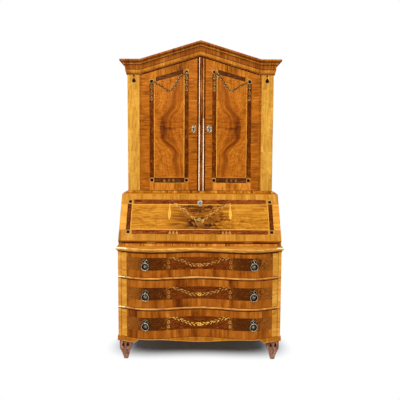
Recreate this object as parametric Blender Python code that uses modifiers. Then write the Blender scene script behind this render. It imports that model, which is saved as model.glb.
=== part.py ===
# Secretaire cabinet: a serpentine chest of three drawers, a slant-front desk on it, and on the desk
# a two-door cabinet under a plain pediment. Metres, +Z up, the front faces -Y.
# Every solid is placed in the case frame, where Y is the distance behind the front edges of the
# chest's sides. All of them hang from one empty, which brings the middle of the footprint to the
# origin.

import math

import bmesh
import bpy
from mathutils import Matrix, Vector

# Clearances
FIT = 0.0003
CUT_OVERRUN = 0.004
DRAWER_GAP = 0.002
DRAWER_SIDE_PLAY = 0.0015
SMALL_DRAWER_PLAY = 0.001
DOOR_TOP_GAP = 0.006
DOOR_BOTTOM_GAP = 0.002
DOOR_MEETING_GAP = 0.002
LOPER_PLAY = 0.0005
FALL_PLAY = 0.0005
FALL_LIFT = 0.0005

# Chest and desk case
CHEST_WIDTH = 1.10
CASE_DEPTH = 0.605
SIDE_THICKNESS = 0.020
BACK_THICKNESS = 0.012
SERPENTINE_PEAK_INSET = 0.22
SERPENTINE_BULGE = 0.065
SERPENTINE_CENTRE = 0.013
SERPENTINE_STEPS = 20

# Feet and plinth
FOOT_HEIGHT = 0.143
FOOT_BLOCK_WIDTH = 0.080
FOOT_BLOCK_HEIGHT = 0.059
FOOT_KNEE_WIDTH = 0.036
FOOT_KNEE_Z = 0.045
FOOT_TOE_WIDTH = 0.032
FOOT_TOE_Z = 0.012
FOOT_SOLE_WIDTH = 0.022
FOOT_INSET = 0.006
FOOT_TENON_WIDTH = 0.040
FOOT_TENON_HEIGHT = 0.026
PLINTH_HEIGHT = 0.0305
PLINTH_PROUD = 0.005
PLINTH_BACK_Y = 0.022
PLINTH_THICKNESS = 0.022
PLINTH_THIN = 0.0055
PLINTH_DROP = 0.0345
PLINTH_DROP_HALF = 0.30
BRACKET_OUTER_INSET = 0.11
BRACKET_INNER_INSET = 0.15
SIDE_BRACKET_LENGTH = 0.105
SIDE_BRACKET_OGEE = 0.040
SIDE_PLINTH_THIN = 0.018
OGEE_STEPS = 6
CHEST_BOTTOM_THICKNESS = 0.018

# Drawers, from the bottom one up
DRAWER_NAMES = ("bottom_drawer", "middle_drawer", "top_drawer")
DRAWER_HEIGHTS = (0.1925, 0.190, 0.163)
DRAWER_FRONT_BACK_Y = 0.030
DRAWER_SIDE_THICKNESS = 0.012
DRAWER_SIDE_DROP = 0.012
DRAWER_BASE_THICKNESS = 0.006
DRAWER_BASE_RISE = 0.010
DRAWER_BACK_ROOM = 0.0377
RAIL_HEIGHT = 0.013
RAIL_BEAD = 0.005
RAIL_BEAD_STEPS = 4

# Chest top, waist moulding and lopers
CHEST_TOP_THICKNESS = 0.030
WAIST_PROUD = 0.0135
WAIST_HEEL = 0.004
WAIST_CAVETTO_HEIGHT = 0.010
WAIST_BEAD_STEPS = 5
LOPER_WIDTH = 0.025
LOPER_HEIGHT = 0.020
LOPER_LENGTH = 0.400

# Fall and desk
FALL_THICKNESS = 0.025
FALL_SLOPE = math.radians(55)
FALL_HINGE_Y = 0.031
DESK_RISE = 0.3135
DESK_TOP_THICKNESS = 0.020

# Gallery inside the desk
GALLERY_DEPTH = 0.225
GALLERY_BOARD = 0.009
SMALL_DRAWER_BAY = 0.085
CENTRE_BAY_WIDTH = 0.400
PIGEONHOLES = 5
SMALL_DRAWER_WALL = 0.006
SMALL_DRAWER_FRONT = 0.012
SMALL_DRAWER_BASE = 0.005
SMALL_KNOB_RADIUS = 0.008
SMALL_KNOB_LENGTH = 0.016
SMALL_KNOB_NECK = 0.0035
SMALL_KNOB_SHARES = ((0.7, 0.88), (1.0, 0.5), (0.8, 0.12))

# Upper cabinet
CABINET_SIDE_SETBACK = 0.030
CABINET_FRONT_Y = 0.315
PILASTER_WIDTH = 0.0935
PILASTER_THICKNESS = 0.020
OPENING_HEIGHT = 0.827
PEDIMENT_RISE = 0.129
BASE_MOULDING_HEIGHT = 0.017
BASE_MOULDING_PROUD = 0.029
BASE_MOULDING_TIP = 0.004
SHELF_THICKNESS = 0.016
SHELF_SETBACK = 0.040
SHELF_PLACE_SHARE = 0.5
ROOF_THICKNESS = 0.018
ROOF_RECESS = 0.010

# Cornice
CORNICE_HEIGHT = 0.100
CORNICE_PROUD = 0.050
CORNICE_FILLET = 0.013
CORNICE_FILLET_STEP = 0.005
CORNICE_BEAD_HEIGHT = 0.020
CORNICE_BEAD_PROUD = 0.012
CORNICE_HEEL = 0.004
CORNICE_STEPS = 5
JOINT_OVERLAP = 0.002

# Doors
DOOR_THICKNESS = 0.022
DOOR_MEETING_X = -0.0145
ASTRAGAL_WIDTH = 0.042
ASTRAGAL_PROUD = 0.010
ASTRAGAL_REEDS = 3
ASTRAGAL_STEPS = 6

# Door pivots: steel pins in the base and in the cornice, near each door's outer front corner
DOOR_EDGE_GAP = 0.001
PIVOT_INSET = 0.006
PIVOT_RADIUS = 0.0025
PIVOT_IN_DOOR = 0.022
PIVOT_IN_CASE = 0.012
PIVOT_EDGE_STEPS = 4

# Fall hinges
FALL_HINGE_RADIUS = 0.0035
FALL_HINGE_BORE = 0.0016
FALL_HINGE_LEAF = 0.0015
FALL_HINGE_LEAF_DEPTH = 0.022
FALL_HINGE_KNUCKLE = 0.030
FALL_HINGE_SHARE = 0.62
HINGE_PIN_PLAY = 0.0003
HINGE_STEPS = 14

# Ring pulls
PULL_INSET = 0.190
PULL_RISES = (0.004, -0.003, 0.0095)
RING_RADIUS = 0.0244
RING_WIRE = 0.0026
RING_STEPS = 24
RING_SIDES = 8
PLATE_THICKNESS = 0.0025
ROSETTE_RADIUS = 0.016
ROSETTE_BOSS_RADIUS = 0.011
ROSETTE_BOSS_TIP = 0.006
ROSETTE_BOSS_HEIGHT = 0.004
BOW_HALF_WIDTH = 0.019
BOW_HEIGHT = 0.033
BOW_SLOT_HALF_WIDTH = 0.0045
BOW_SLOT_HALF_HEIGHT = 0.0035
BOW_SLOT_X = 0.0095
EYE_HOLE = 0.0036
EYE_WALL = 0.0022
EYE_WIDTH = 0.0036
EYE_STANDOFF = 0.0100
EYE_STEPS = 12
ROUND_STEPS = 16

# Half of the bow's outline above the rosette, from its neck to its tip, as shares of its half width
# and of its height
BOW_OUTLINE_SHARES = (
    (0.22, 0.10), (0.30, 0.21), (0.66, 0.25), (0.92, 0.34), (1.00, 0.50),
    (0.94, 0.68), (0.72, 0.82), (0.46, 0.84), (0.26, 0.90), (0.14, 0.98),
)

# Keyhole plates
ESCUTCHEON_HEIGHT = 0.052
ESCUTCHEON_WIDTH = 0.036
ESCUTCHEON_THICKNESS = 0.002
KEYHOLE_RADIUS = 0.0032
KEYHOLE_SLOT = 0.0016
KEYHOLE_DROP = 0.011
DOOR_ESCUTCHEON_WIDTH_LEFT = 0.030
DOOR_ESCUTCHEON_WIDTH_RIGHT = 0.038
DOOR_ESCUTCHEON_X_LEFT = -0.048
DOOR_ESCUTCHEON_X_RIGHT = 0.063
DOOR_ESCUTCHEON_RISE = 0.443
FALL_ESCUTCHEON_ALONG = 0.292

# Half of a keyhole plate's outline, from its foot to its crown, as shares of its half width and of
# its half height
ESCUTCHEON_OUTLINE_SHARES = (
    (0.20, -0.95), (0.42, -0.80), (0.78, -0.60), (1.00, -0.28), (0.92, 0.10),
    (1.00, 0.42), (0.78, 0.70), (0.46, 0.78), (0.30, 0.96),
)

# Worked out from the sizes above
HALF_WIDTH = CHEST_WIDTH / 2
INSIDE_HALF = HALF_WIDTH - SIDE_THICKNESS
SERPENTINE_PEAK_X = HALF_WIDTH - SERPENTINE_PEAK_INSET
BRACKET_OUTER_X = HALF_WIDTH - BRACKET_OUTER_INSET
BRACKET_INNER_X = HALF_WIDTH - BRACKET_INNER_INSET
PULL_X = HALF_WIDTH - PULL_INSET
CASE_INNER_BACK_Y = CASE_DEPTH - BACK_THICKNESS - FIT
DRAWER_LENGTH = CASE_INNER_BACK_Y - DRAWER_BACK_ROOM
PLINTH_TOP_Z = FOOT_HEIGHT + PLINTH_HEIGHT
CHEST_TOP_Z = (PLINTH_TOP_Z + sum(DRAWER_HEIGHTS) + 2 * DRAWER_GAP * len(DRAWER_HEIGHTS)
               + RAIL_HEIGHT * (len(DRAWER_HEIGHTS) - 1) + CHEST_TOP_THICKNESS)
CHEST_TOP_UNDER_Z = CHEST_TOP_Z - CHEST_TOP_THICKNESS
FALL_HINGE_Z = CHEST_TOP_Z + FALL_LIFT + FALL_THICKNESS
DESK_TOP_Z = FALL_HINGE_Z + DESK_RISE
LOPER_SLOT_HALF = INSIDE_HALF - LOPER_WIDTH - 2 * LOPER_PLAY
LOPER_SLOT_Z = CHEST_TOP_Z - LOPER_HEIGHT - 2 * LOPER_PLAY
GALLERY_FRONT_Y = CASE_INNER_BACK_Y - GALLERY_DEPTH
CABINET_HALF = HALF_WIDTH - CABINET_SIDE_SETBACK
PILASTER_X = CABINET_HALF - PILASTER_WIDTH
PILASTER_BACK_Y = CABINET_FRONT_Y + PILASTER_THICKNESS
CABINET_BASE_Z = DESK_TOP_Z + BASE_MOULDING_HEIGHT
EAVES_Z = CABINET_BASE_Z + OPENING_HEIGHT
DOOR_BOTTOM_Z = CABINET_BASE_Z + DOOR_BOTTOM_GAP
DOOR_BACK_Y = CABINET_FRONT_Y + DOOR_THICKNESS
PIVOT_X = PILASTER_X - DOOR_EDGE_GAP - PIVOT_INSET
PIVOT_Y = CABINET_FRONT_Y + PIVOT_INSET
ESCUTCHEON_Z = CABINET_BASE_Z + DOOR_ESCUTCHEON_RISE

# Finishes: sRGB colour, roughness, metallic
WALNUT = ("#B4691F", 0.35, 0.0)
YELLOW_WALNUT = ("#DDA844", 0.35, 0.0)
FOOT_WOOD = ("#8E5C45", 0.5, 0.0)
OAK = ("#B98A55", 0.6, 0.0)
PINE = ("#C9A26B", 0.65, 0.0)
SILVERED_BRASS = ("#A09178", 0.35, 1.0)
BRASS = ("#B5924C", 0.35, 1.0)
STEEL = ("#8A8780", 0.35, 1.0)


def new_collection(name):
    collection = bpy.data.collections.new(name)
    bpy.context.scene.collection.children.link(collection)
    return collection


def linear_colour(hex_text):
    """Turn an sRGB hex colour into the linear RGBA that a shader takes."""
    channels = []
    for start in (1, 3, 5):
        value = int(hex_text[start:start + 2], 16) / 255
        channels.append(value / 12.92 if value <= 0.04045 else ((value + 0.055) / 1.055) ** 2.4)
    return (*channels, 1.0)


def give_material(obj, finish):
    colour, roughness, metallic = finish
    material = bpy.data.materials.new(obj.name + "_finish")
    material.use_nodes = True
    shader = material.node_tree.nodes["Principled BSDF"]
    shader.inputs["Base Color"].default_value = linear_colour(colour)
    shader.inputs["Roughness"].default_value = roughness
    shader.inputs["Metallic"].default_value = metallic
    obj.data.materials.append(material)


def add_object(name, bm, finish, pivot=(0, 0, 0)):
    """Make a named part of bm, whose points are in the case frame, with its origin at pivot."""
    bmesh.ops.translate(bm, verts=bm.verts, vec=-Vector(pivot))
    mesh = bpy.data.meshes.new(name)
    bm.to_mesh(mesh)
    bm.free()
    obj = bpy.data.objects.new(name, mesh)
    parts.objects.link(obj)
    obj.parent = case_frame
    obj.location = pivot
    give_material(obj, finish)
    return obj


def add_cutter(name, bm):
    mesh = bpy.data.meshes.new(name)
    bm.to_mesh(mesh)
    bm.free()
    obj = bpy.data.objects.new(name, mesh)
    cutters.objects.link(obj)
    obj.parent = case_frame
    obj.hide_render = True
    obj.display_type = "WIRE"
    return obj


def cut(obj, cutter):
    modifier = obj.modifiers.new("cut_" + cutter.name, "BOOLEAN")
    modifier.operation = "DIFFERENCE"
    modifier.solver = "EXACT"
    modifier.use_self = True
    modifier.object = cutter


def boolean(bm, others, operation):
    """Join other closed shapes to bm, or cut them from it, and return the result."""
    objects = []
    for shape in [bm] + others:
        mesh = bpy.data.meshes.new("operand")
        shape.to_mesh(mesh)
        shape.free()
        operand = bpy.data.objects.new("operand", mesh)
        bpy.context.scene.collection.objects.link(operand)
        objects.append(operand)
    for operand in objects[1:]:
        modifier = objects[0].modifiers.new("operation", "BOOLEAN")
        modifier.operation = operation
        modifier.solver = "EXACT"
        modifier.object = operand
    bpy.context.view_layer.update()
    graph = bpy.context.evaluated_depsgraph_get()
    mesh = bpy.data.meshes.new_from_object(objects[0].evaluated_get(graph))
    result = bmesh.new()
    result.from_mesh(mesh)
    bpy.data.meshes.remove(mesh)
    for operand in objects:
        bpy.data.meshes.remove(operand.data)
    return result


def united(first, *others):
    return boolean(first, list(others), "UNION")


def subtracted(first, *others):
    return boolean(first, list(others), "DIFFERENCE")


def add_box(bm, low, high):
    """Add a box between two opposite corners."""
    middle = (Vector(low) + Vector(high)) / 2
    size = Vector(high) - Vector(low)
    matrix = Matrix.Translation(middle) @ Matrix.Diagonal((*size, 1))
    bmesh.ops.create_cube(bm, size=1, matrix=matrix)


def add_rod(bm, start, end, radius, steps=HINGE_STEPS, tip_radius=None):
    """Add a cylinder, or a cone frustum, between two points."""
    start, end = Vector(start), Vector(end)
    turn = (end - start).to_track_quat("Z", "Y").to_matrix().to_4x4()
    bmesh.ops.create_cone(
        bm, cap_ends=True, segments=steps, radius1=radius,
        radius2=radius if tip_radius is None else tip_radius,
        depth=(end - start).length, matrix=Matrix.Translation((start + end) / 2) @ turn)


def add_mesh(bm, mesh, matrix):
    """Add a finished mesh to bm, welded and moved by matrix."""
    welded = bmesh.new()
    welded.from_mesh(mesh)
    bmesh.ops.remove_doubles(welded, verts=welded.verts, dist=FIT / 30)
    bmesh.ops.transform(welded, matrix=matrix, verts=welded.verts)
    bmesh.ops.recalc_face_normals(welded, faces=welded.faces)
    copy = bpy.data.meshes.new("welded")
    welded.to_mesh(copy)
    welded.free()
    bm.from_mesh(copy)
    bpy.data.meshes.remove(copy)


# Planes in which a flat outline is drawn: its own X, Y and normal in the case frame
PLAN = Matrix(((1, 0, 0), (0, 1, 0), (0, 0, 1))).transposed().to_4x4()
FRONT = Matrix(((1, 0, 0), (0, 0, 1), (0, -1, 0))).transposed().to_4x4()
SIDE = Matrix(((0, 1, 0), (0, 0, 1), (1, 0, 0))).transposed().to_4x4()


def add_plate(bm, plane, outlines, low, high, place=Matrix()):
    """Add a flat outline, with holes as further outlines, from low to high along the plane's axis."""
    curve = bpy.data.curves.new("outline", "CURVE")
    curve.dimensions = "2D"
    curve.fill_mode = "BOTH"
    curve.extrude = (high - low) / 2
    for outline in outlines:
        spline = curve.splines.new("POLY")
        spline.points.add(len(outline) - 1)
        for point, (u, v) in zip(spline.points, outline):
            point.co = (u, v, 0, 1)
        spline.use_cyclic_u = True
    guide = bpy.data.objects.new("outline", curve)
    bpy.context.scene.collection.objects.link(guide)
    bpy.context.view_layer.update()
    graph = bpy.context.evaluated_depsgraph_get()
    mesh = bpy.data.meshes.new_from_object(guide.evaluated_get(graph))
    axis = plane.to_3x3() @ Vector((0, 0, 1))
    direction = -1 if plane is FRONT else 1
    middle = axis * direction * (low + high) / 2
    add_mesh(bm, mesh, place @ Matrix.Translation(middle) @ plane)
    bpy.data.objects.remove(guide)
    bpy.data.curves.remove(curve)
    bpy.data.meshes.remove(mesh)


def add_loft(bm, rings):
    """Add a closed solid through rings of points, with a flat cap at each end."""
    solid = bmesh.new()
    rows = [[solid.verts.new(point) for point in ring] for ring in rings]
    for lower, upper in zip(rows, rows[1:]):
        for i in range(len(lower)):
            j = (i + 1) % len(lower)
            solid.faces.new((lower[i], lower[j], upper[j], upper[i]))
    solid.faces.new(rows[0])
    solid.faces.new(rows[-1])
    bmesh.ops.recalc_face_normals(solid, faces=solid.faces)
    mesh = bpy.data.meshes.new("loft")
    solid.to_mesh(mesh)
    solid.free()
    bm.from_mesh(mesh)
    bpy.data.meshes.remove(mesh)


def add_turned(bm, profile, steps, matrix):
    """Add a turned solid: profile is (radius, height) points on +X, top to bottom, turned about Z."""
    mesh = bpy.data.meshes.new("profile")
    mesh.from_pydata([(radius, 0, height) for radius, height in profile],
                     [(i, i + 1) for i in range(len(profile) - 1)], [])
    blank = bpy.data.objects.new("profile", mesh)
    bpy.context.scene.collection.objects.link(blank)
    screw = blank.modifiers.new("turn", "SCREW")
    screw.steps = steps
    screw.render_steps = steps
    screw.use_merge_vertices = True
    screw.merge_threshold = FIT / 30
    bpy.context.view_layer.update()
    graph = bpy.context.evaluated_depsgraph_get()
    turned = bpy.data.meshes.new_from_object(blank.evaluated_get(graph))
    add_mesh(bm, turned, matrix)
    bpy.data.objects.remove(blank)
    bpy.data.meshes.remove(mesh)
    bpy.data.meshes.remove(turned)


def arc(centre, radii, start, end, steps):
    """Points of an ellipse's arc, angles in degrees."""
    points = []
    for i in range(steps + 1):
        angle = math.radians(start + (end - start) * i / steps)
        points.append((centre[0] + radii[0] * math.cos(angle), centre[1] + radii[1] * math.sin(angle)))
    return points


def mirrored(half):
    """A whole outline from its right half, given bottom to top."""
    return half + [(-u, v) for u, v in reversed(half)]


def ease(share):
    """A smooth step from 0 to 1."""
    share = min(max(share, 0), 1)
    return (1 - math.cos(math.pi * share)) / 2


# The serpentine front

def serpentine(x):
    """Distance behind the front edges of the sides: two bulges and a shallow hollow between them."""
    x = abs(x)
    if x <= SERPENTINE_PEAK_X:
        reach = SERPENTINE_BULGE - SERPENTINE_CENTRE
        return -SERPENTINE_CENTRE - reach * ease(x / SERPENTINE_PEAK_X)
    share = (x - SERPENTINE_PEAK_X) / (INSIDE_HALF - SERPENTINE_PEAK_X)
    return -SERPENTINE_BULGE * math.cos(math.pi / 2 * min(share, 1))


def front_grid():
    step = INSIDE_HALF / SERPENTINE_STEPS
    return [step * i for i in range(-SERPENTINE_STEPS, SERPENTINE_STEPS + 1)]


def front_line(x):
    """The serpentine as straight facets, shared by every piece that lies along it."""
    step = INSIDE_HALF / SERPENTINE_STEPS
    place = min(abs(x), INSIDE_HALF) / step
    lower = min(int(place), SERPENTINE_STEPS - 1)
    share = place - lower
    return serpentine(lower * step) * (1 - share) + serpentine((lower + 1) * step) * share


def front_stations(x_from, x_to, extra=()):
    inner = [x for x in front_grid() if x_from + FIT < x < x_to - FIT]
    inner += [x for x in extra if x_from < x < x_to]
    return [x_from] + sorted(inner) + [x_to]


def front_slope(x):
    """The angle of the front at x, seen from above."""
    reach = ROSETTE_RADIUS
    return math.atan2(front_line(x + reach) - front_line(x - reach), 2 * reach)


def front_outline(half, back_y):
    """Plan of a board that follows the front and is flat at the back."""
    outline = [(x, front_line(x)) for x in front_stations(-half, half)]
    return outline + [(half, back_y), (-half, back_y)]


# The pediment

def eaves_height(x):
    """Height of the cornice's lower edge at x: level over the pilasters, raked over the doors."""
    return EAVES_Z + PEDIMENT_RISE * max(0, 1 - abs(x) / PILASTER_X)


def door_top(x):
    return eaves_height(x) - DOOR_TOP_GAP


# The fall's slope

def slope_y(z):
    """Y of the fall's inner face at height z."""
    return FALL_HINGE_Y + (z - FALL_HINGE_Z) / math.tan(FALL_SLOPE)


def slope_matrix(along):
    """A frame on the fall's outer face: its Z runs up the slope and its -Y stands out of the face."""
    up = Vector((0, math.cos(FALL_SLOPE), math.sin(FALL_SLOPE)))
    out = Vector((0, -math.sin(FALL_SLOPE), math.cos(FALL_SLOPE)))
    point = Vector((0, FALL_HINGE_Y, FALL_HINGE_Z)) + out * FALL_THICKNESS + up * along
    turn = Matrix(((1, 0, 0), tuple(-out), tuple(up))).transposed().to_4x4()
    return Matrix.Translation(point) @ turn


# Chest

def drawer_levels():
    """Bottom height of each drawer front, from the lowest up."""
    levels = []
    z = PLINTH_TOP_Z + DRAWER_GAP
    for height in DRAWER_HEIGHTS:
        levels.append(z)
        z += height + RAIL_HEIGHT + 2 * DRAWER_GAP
    return levels


def board_levels():
    """Bottom height of each dust board between two drawers."""
    return [level - DRAWER_GAP - RAIL_HEIGHT for level in drawer_levels()[1:]]


def plinth_low(x):
    """Height of the front plinth's shaped lower edge at x."""
    x = abs(x)
    if x >= BRACKET_INNER_X:
        share = (x - BRACKET_INNER_X) / (BRACKET_OUTER_X - BRACKET_INNER_X)
        return PLINTH_TOP_Z - PLINTH_THIN - (PLINTH_HEIGHT - PLINTH_THIN) * ease(share)
    share = 1 - x / PLINTH_DROP_HALF
    return PLINTH_TOP_Z - PLINTH_THIN - (PLINTH_DROP - PLINTH_THIN) * ease(share)


def side_plinth_outline():
    """Side plinth with a bracket at each end and an ogee up to a thin middle."""
    rise = PLINTH_HEIGHT - SIDE_PLINTH_THIN
    edge = []
    for i in range(OGEE_STEPS + 1):
        share = i / OGEE_STEPS
        edge.append((SIDE_BRACKET_LENGTH + SIDE_BRACKET_OGEE * share, FOOT_HEIGHT + rise * ease(share)))
    outline = [(-PLINTH_PROUD, FOOT_HEIGHT)] + edge
    outline += [(CASE_DEPTH - y, z) for y, z in reversed(edge)]
    return outline + [(CASE_DEPTH, FOOT_HEIGHT), (CASE_DEPTH, PLINTH_TOP_Z), (-PLINTH_PROUD, PLINTH_TOP_Z)]


def build_plinth():
    """A frame of four boards: a shaped serpentine front, two bracketed sides and a plain back."""
    outer = HALF_WIDTH + PLINTH_PROUD
    half = outer - PLINTH_THICKNESS / 2
    ogee = (BRACKET_OUTER_X - BRACKET_INNER_X) / OGEE_STEPS
    extra = [side * (BRACKET_INNER_X + ogee * i) for i in range(OGEE_STEPS + 1) for side in (-1, 1)]
    rings = []
    for x in front_stations(-half, half, extra + [-INSIDE_HALF, INSIDE_HALF]):
        front = front_line(x) - PLINTH_PROUD
        low = plinth_low(x)
        rings.append([(x, front, low), (x, front, PLINTH_TOP_Z), (x, PLINTH_BACK_Y, PLINTH_TOP_Z),
                      (x, PLINTH_BACK_Y, low)])
    front_board = bmesh.new()
    add_loft(front_board, rings)
    boards = []
    for side in (-1, 1):
        board = bmesh.new()
        edges = sorted((side * outer, side * (outer - PLINTH_THICKNESS)))
        add_plate(board, SIDE, [side_plinth_outline()], *edges)
        boards.append(board)
    back_board = bmesh.new()
    add_box(back_board, (-half, CASE_DEPTH - PLINTH_THICKNESS, FOOT_HEIGHT),
            (half, CASE_DEPTH, PLINTH_TOP_Z))
    add_object("plinth", united(front_board, *boards, back_board), WALNUT)


def plinth_inside():
    """Half width, front and back of the room inside the plinth."""
    half = HALF_WIDTH + PLINTH_PROUD - PLINTH_THICKNESS - FIT
    return half, PLINTH_BACK_Y + FIT, CASE_DEPTH - PLINTH_THICKNESS - FIT


def square_ring(x, y, half, z):
    return [(x - half, y - half, z), (x + half, y - half, z), (x + half, y + half, z),
            (x - half, y + half, z)]


def build_feet():
    """Square blocks that taper to a toe, each with a tenon up into the plinth's corner."""
    half = FOOT_BLOCK_WIDTH / 2
    x = HALF_WIDTH - FOOT_INSET - half
    block_bottom = FOOT_HEIGHT - FOOT_BLOCK_HEIGHT
    inner_x, inner_front, inner_back = plinth_inside()
    tenon = FOOT_TENON_WIDTH / 2
    places = (("front", FOOT_INSET + half, inner_front + tenon),
              ("rear", CASE_DEPTH - FOOT_INSET - half, inner_back - tenon))
    for word, y, tenon_y in places:
        for side_word, side in (("left", -1), ("right", 1)):
            foot_x = side * x
            tenon_x = side * (inner_x - tenon)
            rings = [
                square_ring(foot_x, y, FOOT_SOLE_WIDTH / 2, 0),
                square_ring(foot_x, y, FOOT_TOE_WIDTH / 2, FOOT_TOE_Z),
                square_ring(foot_x, y, FOOT_KNEE_WIDTH / 2, FOOT_KNEE_Z),
                square_ring(foot_x, y, half, block_bottom),
                square_ring(foot_x, y, half, FOOT_HEIGHT - FIT),
                square_ring(tenon_x, tenon_y, tenon, FOOT_HEIGHT - FIT),
                square_ring(tenon_x, tenon_y, tenon, FOOT_HEIGHT + FOOT_TENON_HEIGHT),
            ]
            bm = bmesh.new()
            add_loft(bm, rings)
            add_object(f"foot_{word}_{side_word}", bm, FOOT_WOOD)


def build_chest_bottom():
    half, front, back = plinth_inside()
    bm = bmesh.new()
    under = PLINTH_TOP_Z - CHEST_BOTTOM_THICKNESS
    add_box(bm, (-half, front, under), (half, back, PLINTH_TOP_Z))
    board = add_object("chest_bottom", bm, PINE)
    mortises = bmesh.new()
    inner = half - FOOT_TENON_WIDTH - FIT
    depth = FOOT_TENON_WIDTH + FIT
    top = FOOT_HEIGHT + FOOT_TENON_HEIGHT + FIT
    for side in (-1, 1):
        edges = sorted((side * inner, side * (half + CUT_OVERRUN)))
        add_box(mortises, (edges[0], front - CUT_OVERRUN, under - CUT_OVERRUN),
                (edges[1], front + depth, top))
        add_box(mortises, (edges[0], back - depth, under - CUT_OVERRUN),
                (edges[1], back + CUT_OVERRUN, top))
    cut(board, add_cutter("foot_mortises", mortises))


def build_case_sides():
    low = PLINTH_TOP_Z + FIT
    seat_y = FALL_HINGE_Y + FALL_PLAY
    outline = [
        (0, low), (CASE_INNER_BACK_Y, low), (CASE_INNER_BACK_Y, DESK_TOP_Z),
        (slope_y(DESK_TOP_Z) + FALL_PLAY, DESK_TOP_Z), (seat_y, FALL_HINGE_Z),
        (seat_y, CHEST_TOP_Z), (0, CHEST_TOP_Z),
    ]
    for name, side in (("case_side_left", -1), ("case_side_right", 1)):
        bm = bmesh.new()
        edges = sorted((side * INSIDE_HALF, side * HALF_WIDTH))
        add_plate(bm, SIDE, [outline], *edges)
        add_object(name, bm, WALNUT)
    bm = bmesh.new()
    add_box(bm, (-HALF_WIDTH, CASE_DEPTH - BACK_THICKNESS, low), (HALF_WIDTH, CASE_DEPTH, DESK_TOP_Z))
    add_object("case_back", bm, PINE)


def dust_board_section(x, low):
    """Section of a dust board at x, with a half-round bead on its front edge."""
    middle = low + RAIL_HEIGHT / 2
    bead = arc((front_line(x), middle), (RAIL_BEAD, RAIL_HEIGHT / 2), 270, 90, RAIL_BEAD_STEPS)
    back = CASE_INNER_BACK_Y - FIT
    return [(x, y, z) for y, z in bead] + [(x, back, low + RAIL_HEIGHT), (x, back, low)]


def build_dust_boards():
    half = INSIDE_HALF - FIT
    for name, low in zip(("dust_board_lower", "dust_board_upper"), board_levels()):
        bm = bmesh.new()
        add_loft(bm, [dust_board_section(x, low) for x in front_stations(-half, half)])
        add_object(name, bm, WALNUT)


def build_chest_top():
    bm = bmesh.new()
    outline = front_outline(INSIDE_HALF - FIT, CASE_INNER_BACK_Y - FIT)
    add_plate(bm, PLAN, [outline], CHEST_TOP_UNDER_Z, CHEST_TOP_Z)
    board = add_object("chest_top", bm, PINE)
    slots = bmesh.new()
    for side in (-1, 1):
        edges = sorted((side * LOPER_SLOT_HALF, side * (INSIDE_HALF + CUT_OVERRUN)))
        add_box(slots, (edges[0], -SERPENTINE_BULGE, LOPER_SLOT_Z),
                (edges[1], CASE_INNER_BACK_Y + CUT_OVERRUN, CHEST_TOP_Z + CUT_OVERRUN))
    cut(board, add_cutter("loper_slots", slots))


def waist_section():
    """Waist moulding as (proud, height) points: a small hollow under a broad rounded lip."""
    lip_height = CHEST_TOP_THICKNESS - WAIST_CAVETTO_HEIGHT
    reach = WAIST_PROUD - WAIST_HEEL
    lip = arc((WAIST_HEEL, WAIST_CAVETTO_HEIGHT + lip_height / 2), (reach, lip_height / 2), -90, 90,
              WAIST_BEAD_STEPS)
    return ([(FIT, FIT), (WAIST_HEEL / 2, FIT)] + lip[:-1]
            + [(WAIST_HEEL + reach / 2, CHEST_TOP_THICKNESS - FIT), (FIT, CHEST_TOP_THICKNESS - FIT)])


def section_ring(section, x, y, x_way, y_way, base_z):
    """Place a moulding's section at a station, with its projection along (x_way, y_way)."""
    return [(x + x_way * proud, y + y_way * proud, base_z + height) for proud, height in section]


def front_run(section, x_from, x_to, base_z):
    return [section_ring(section, x, front_line(x), 0, -1, base_z)
            for x in front_stations(x_from, x_to)]


def build_waist_moulding():
    """One moulding round the sides and the front, notched for the nose of each loper."""
    section = waist_section()
    base = CHEST_TOP_UNDER_Z
    rings = [section_ring(section, -HALF_WIDTH, CASE_DEPTH, -1, 0, base),
             section_ring(section, -HALF_WIDTH, 0, -1, -1, base)]
    rings += front_run(section, -INSIDE_HALF, INSIDE_HALF, base)
    rings += [section_ring(section, HALF_WIDTH, 0, 1, -1, base),
              section_ring(section, HALF_WIDTH, CASE_DEPTH, 1, 0, base)]
    bm = bmesh.new()
    add_loft(bm, rings)
    moulding = add_object("waist_moulding", bm, YELLOW_WALNUT)
    notches = bmesh.new()
    for side in (-1, 1):
        edges = sorted((side * LOPER_SLOT_HALF, side * INSIDE_HALF))
        front = -SERPENTINE_BULGE - WAIST_PROUD
        add_box(notches, (edges[0], front, LOPER_SLOT_Z), (edges[1], CUT_OVERRUN, CHEST_TOP_Z))
    cut(moulding, add_cutter("loper_notches", notches))


def build_lopers():
    """Sliding supports for the open fall: a bar with a nose cut from the waist moulding."""
    inner = LOPER_SLOT_HALF + LOPER_PLAY
    outer = inner + LOPER_WIDTH
    top = CHEST_TOP_Z - LOPER_PLAY
    for name, side in (("loper_left", -1), ("loper_right", 1)):
        low_x, high_x = sorted((side * inner, side * outer))
        nose = bmesh.new()
        add_loft(nose, front_run(waist_section(), low_x, high_x, CHEST_TOP_UNDER_Z))
        waste = bmesh.new()
        add_box(waste, (low_x - CUT_OVERRUN, -SERPENTINE_BULGE - WAIST_PROUD,
                        CHEST_TOP_UNDER_Z - CUT_OVERRUN),
                (high_x + CUT_OVERRUN, CUT_OVERRUN, top - LOPER_HEIGHT))
        bar = bmesh.new()
        outline = [(x, front_line(x) - WAIST_HEEL / 2) for x in front_stations(low_x, high_x)]
        outline += [(high_x, LOPER_LENGTH), (low_x, LOPER_LENGTH)]
        add_plate(bar, PLAN, [outline], top - LOPER_HEIGHT, top)
        add_object(name, united(bar, subtracted(nose, waste)), WALNUT)


# Drawers

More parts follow.
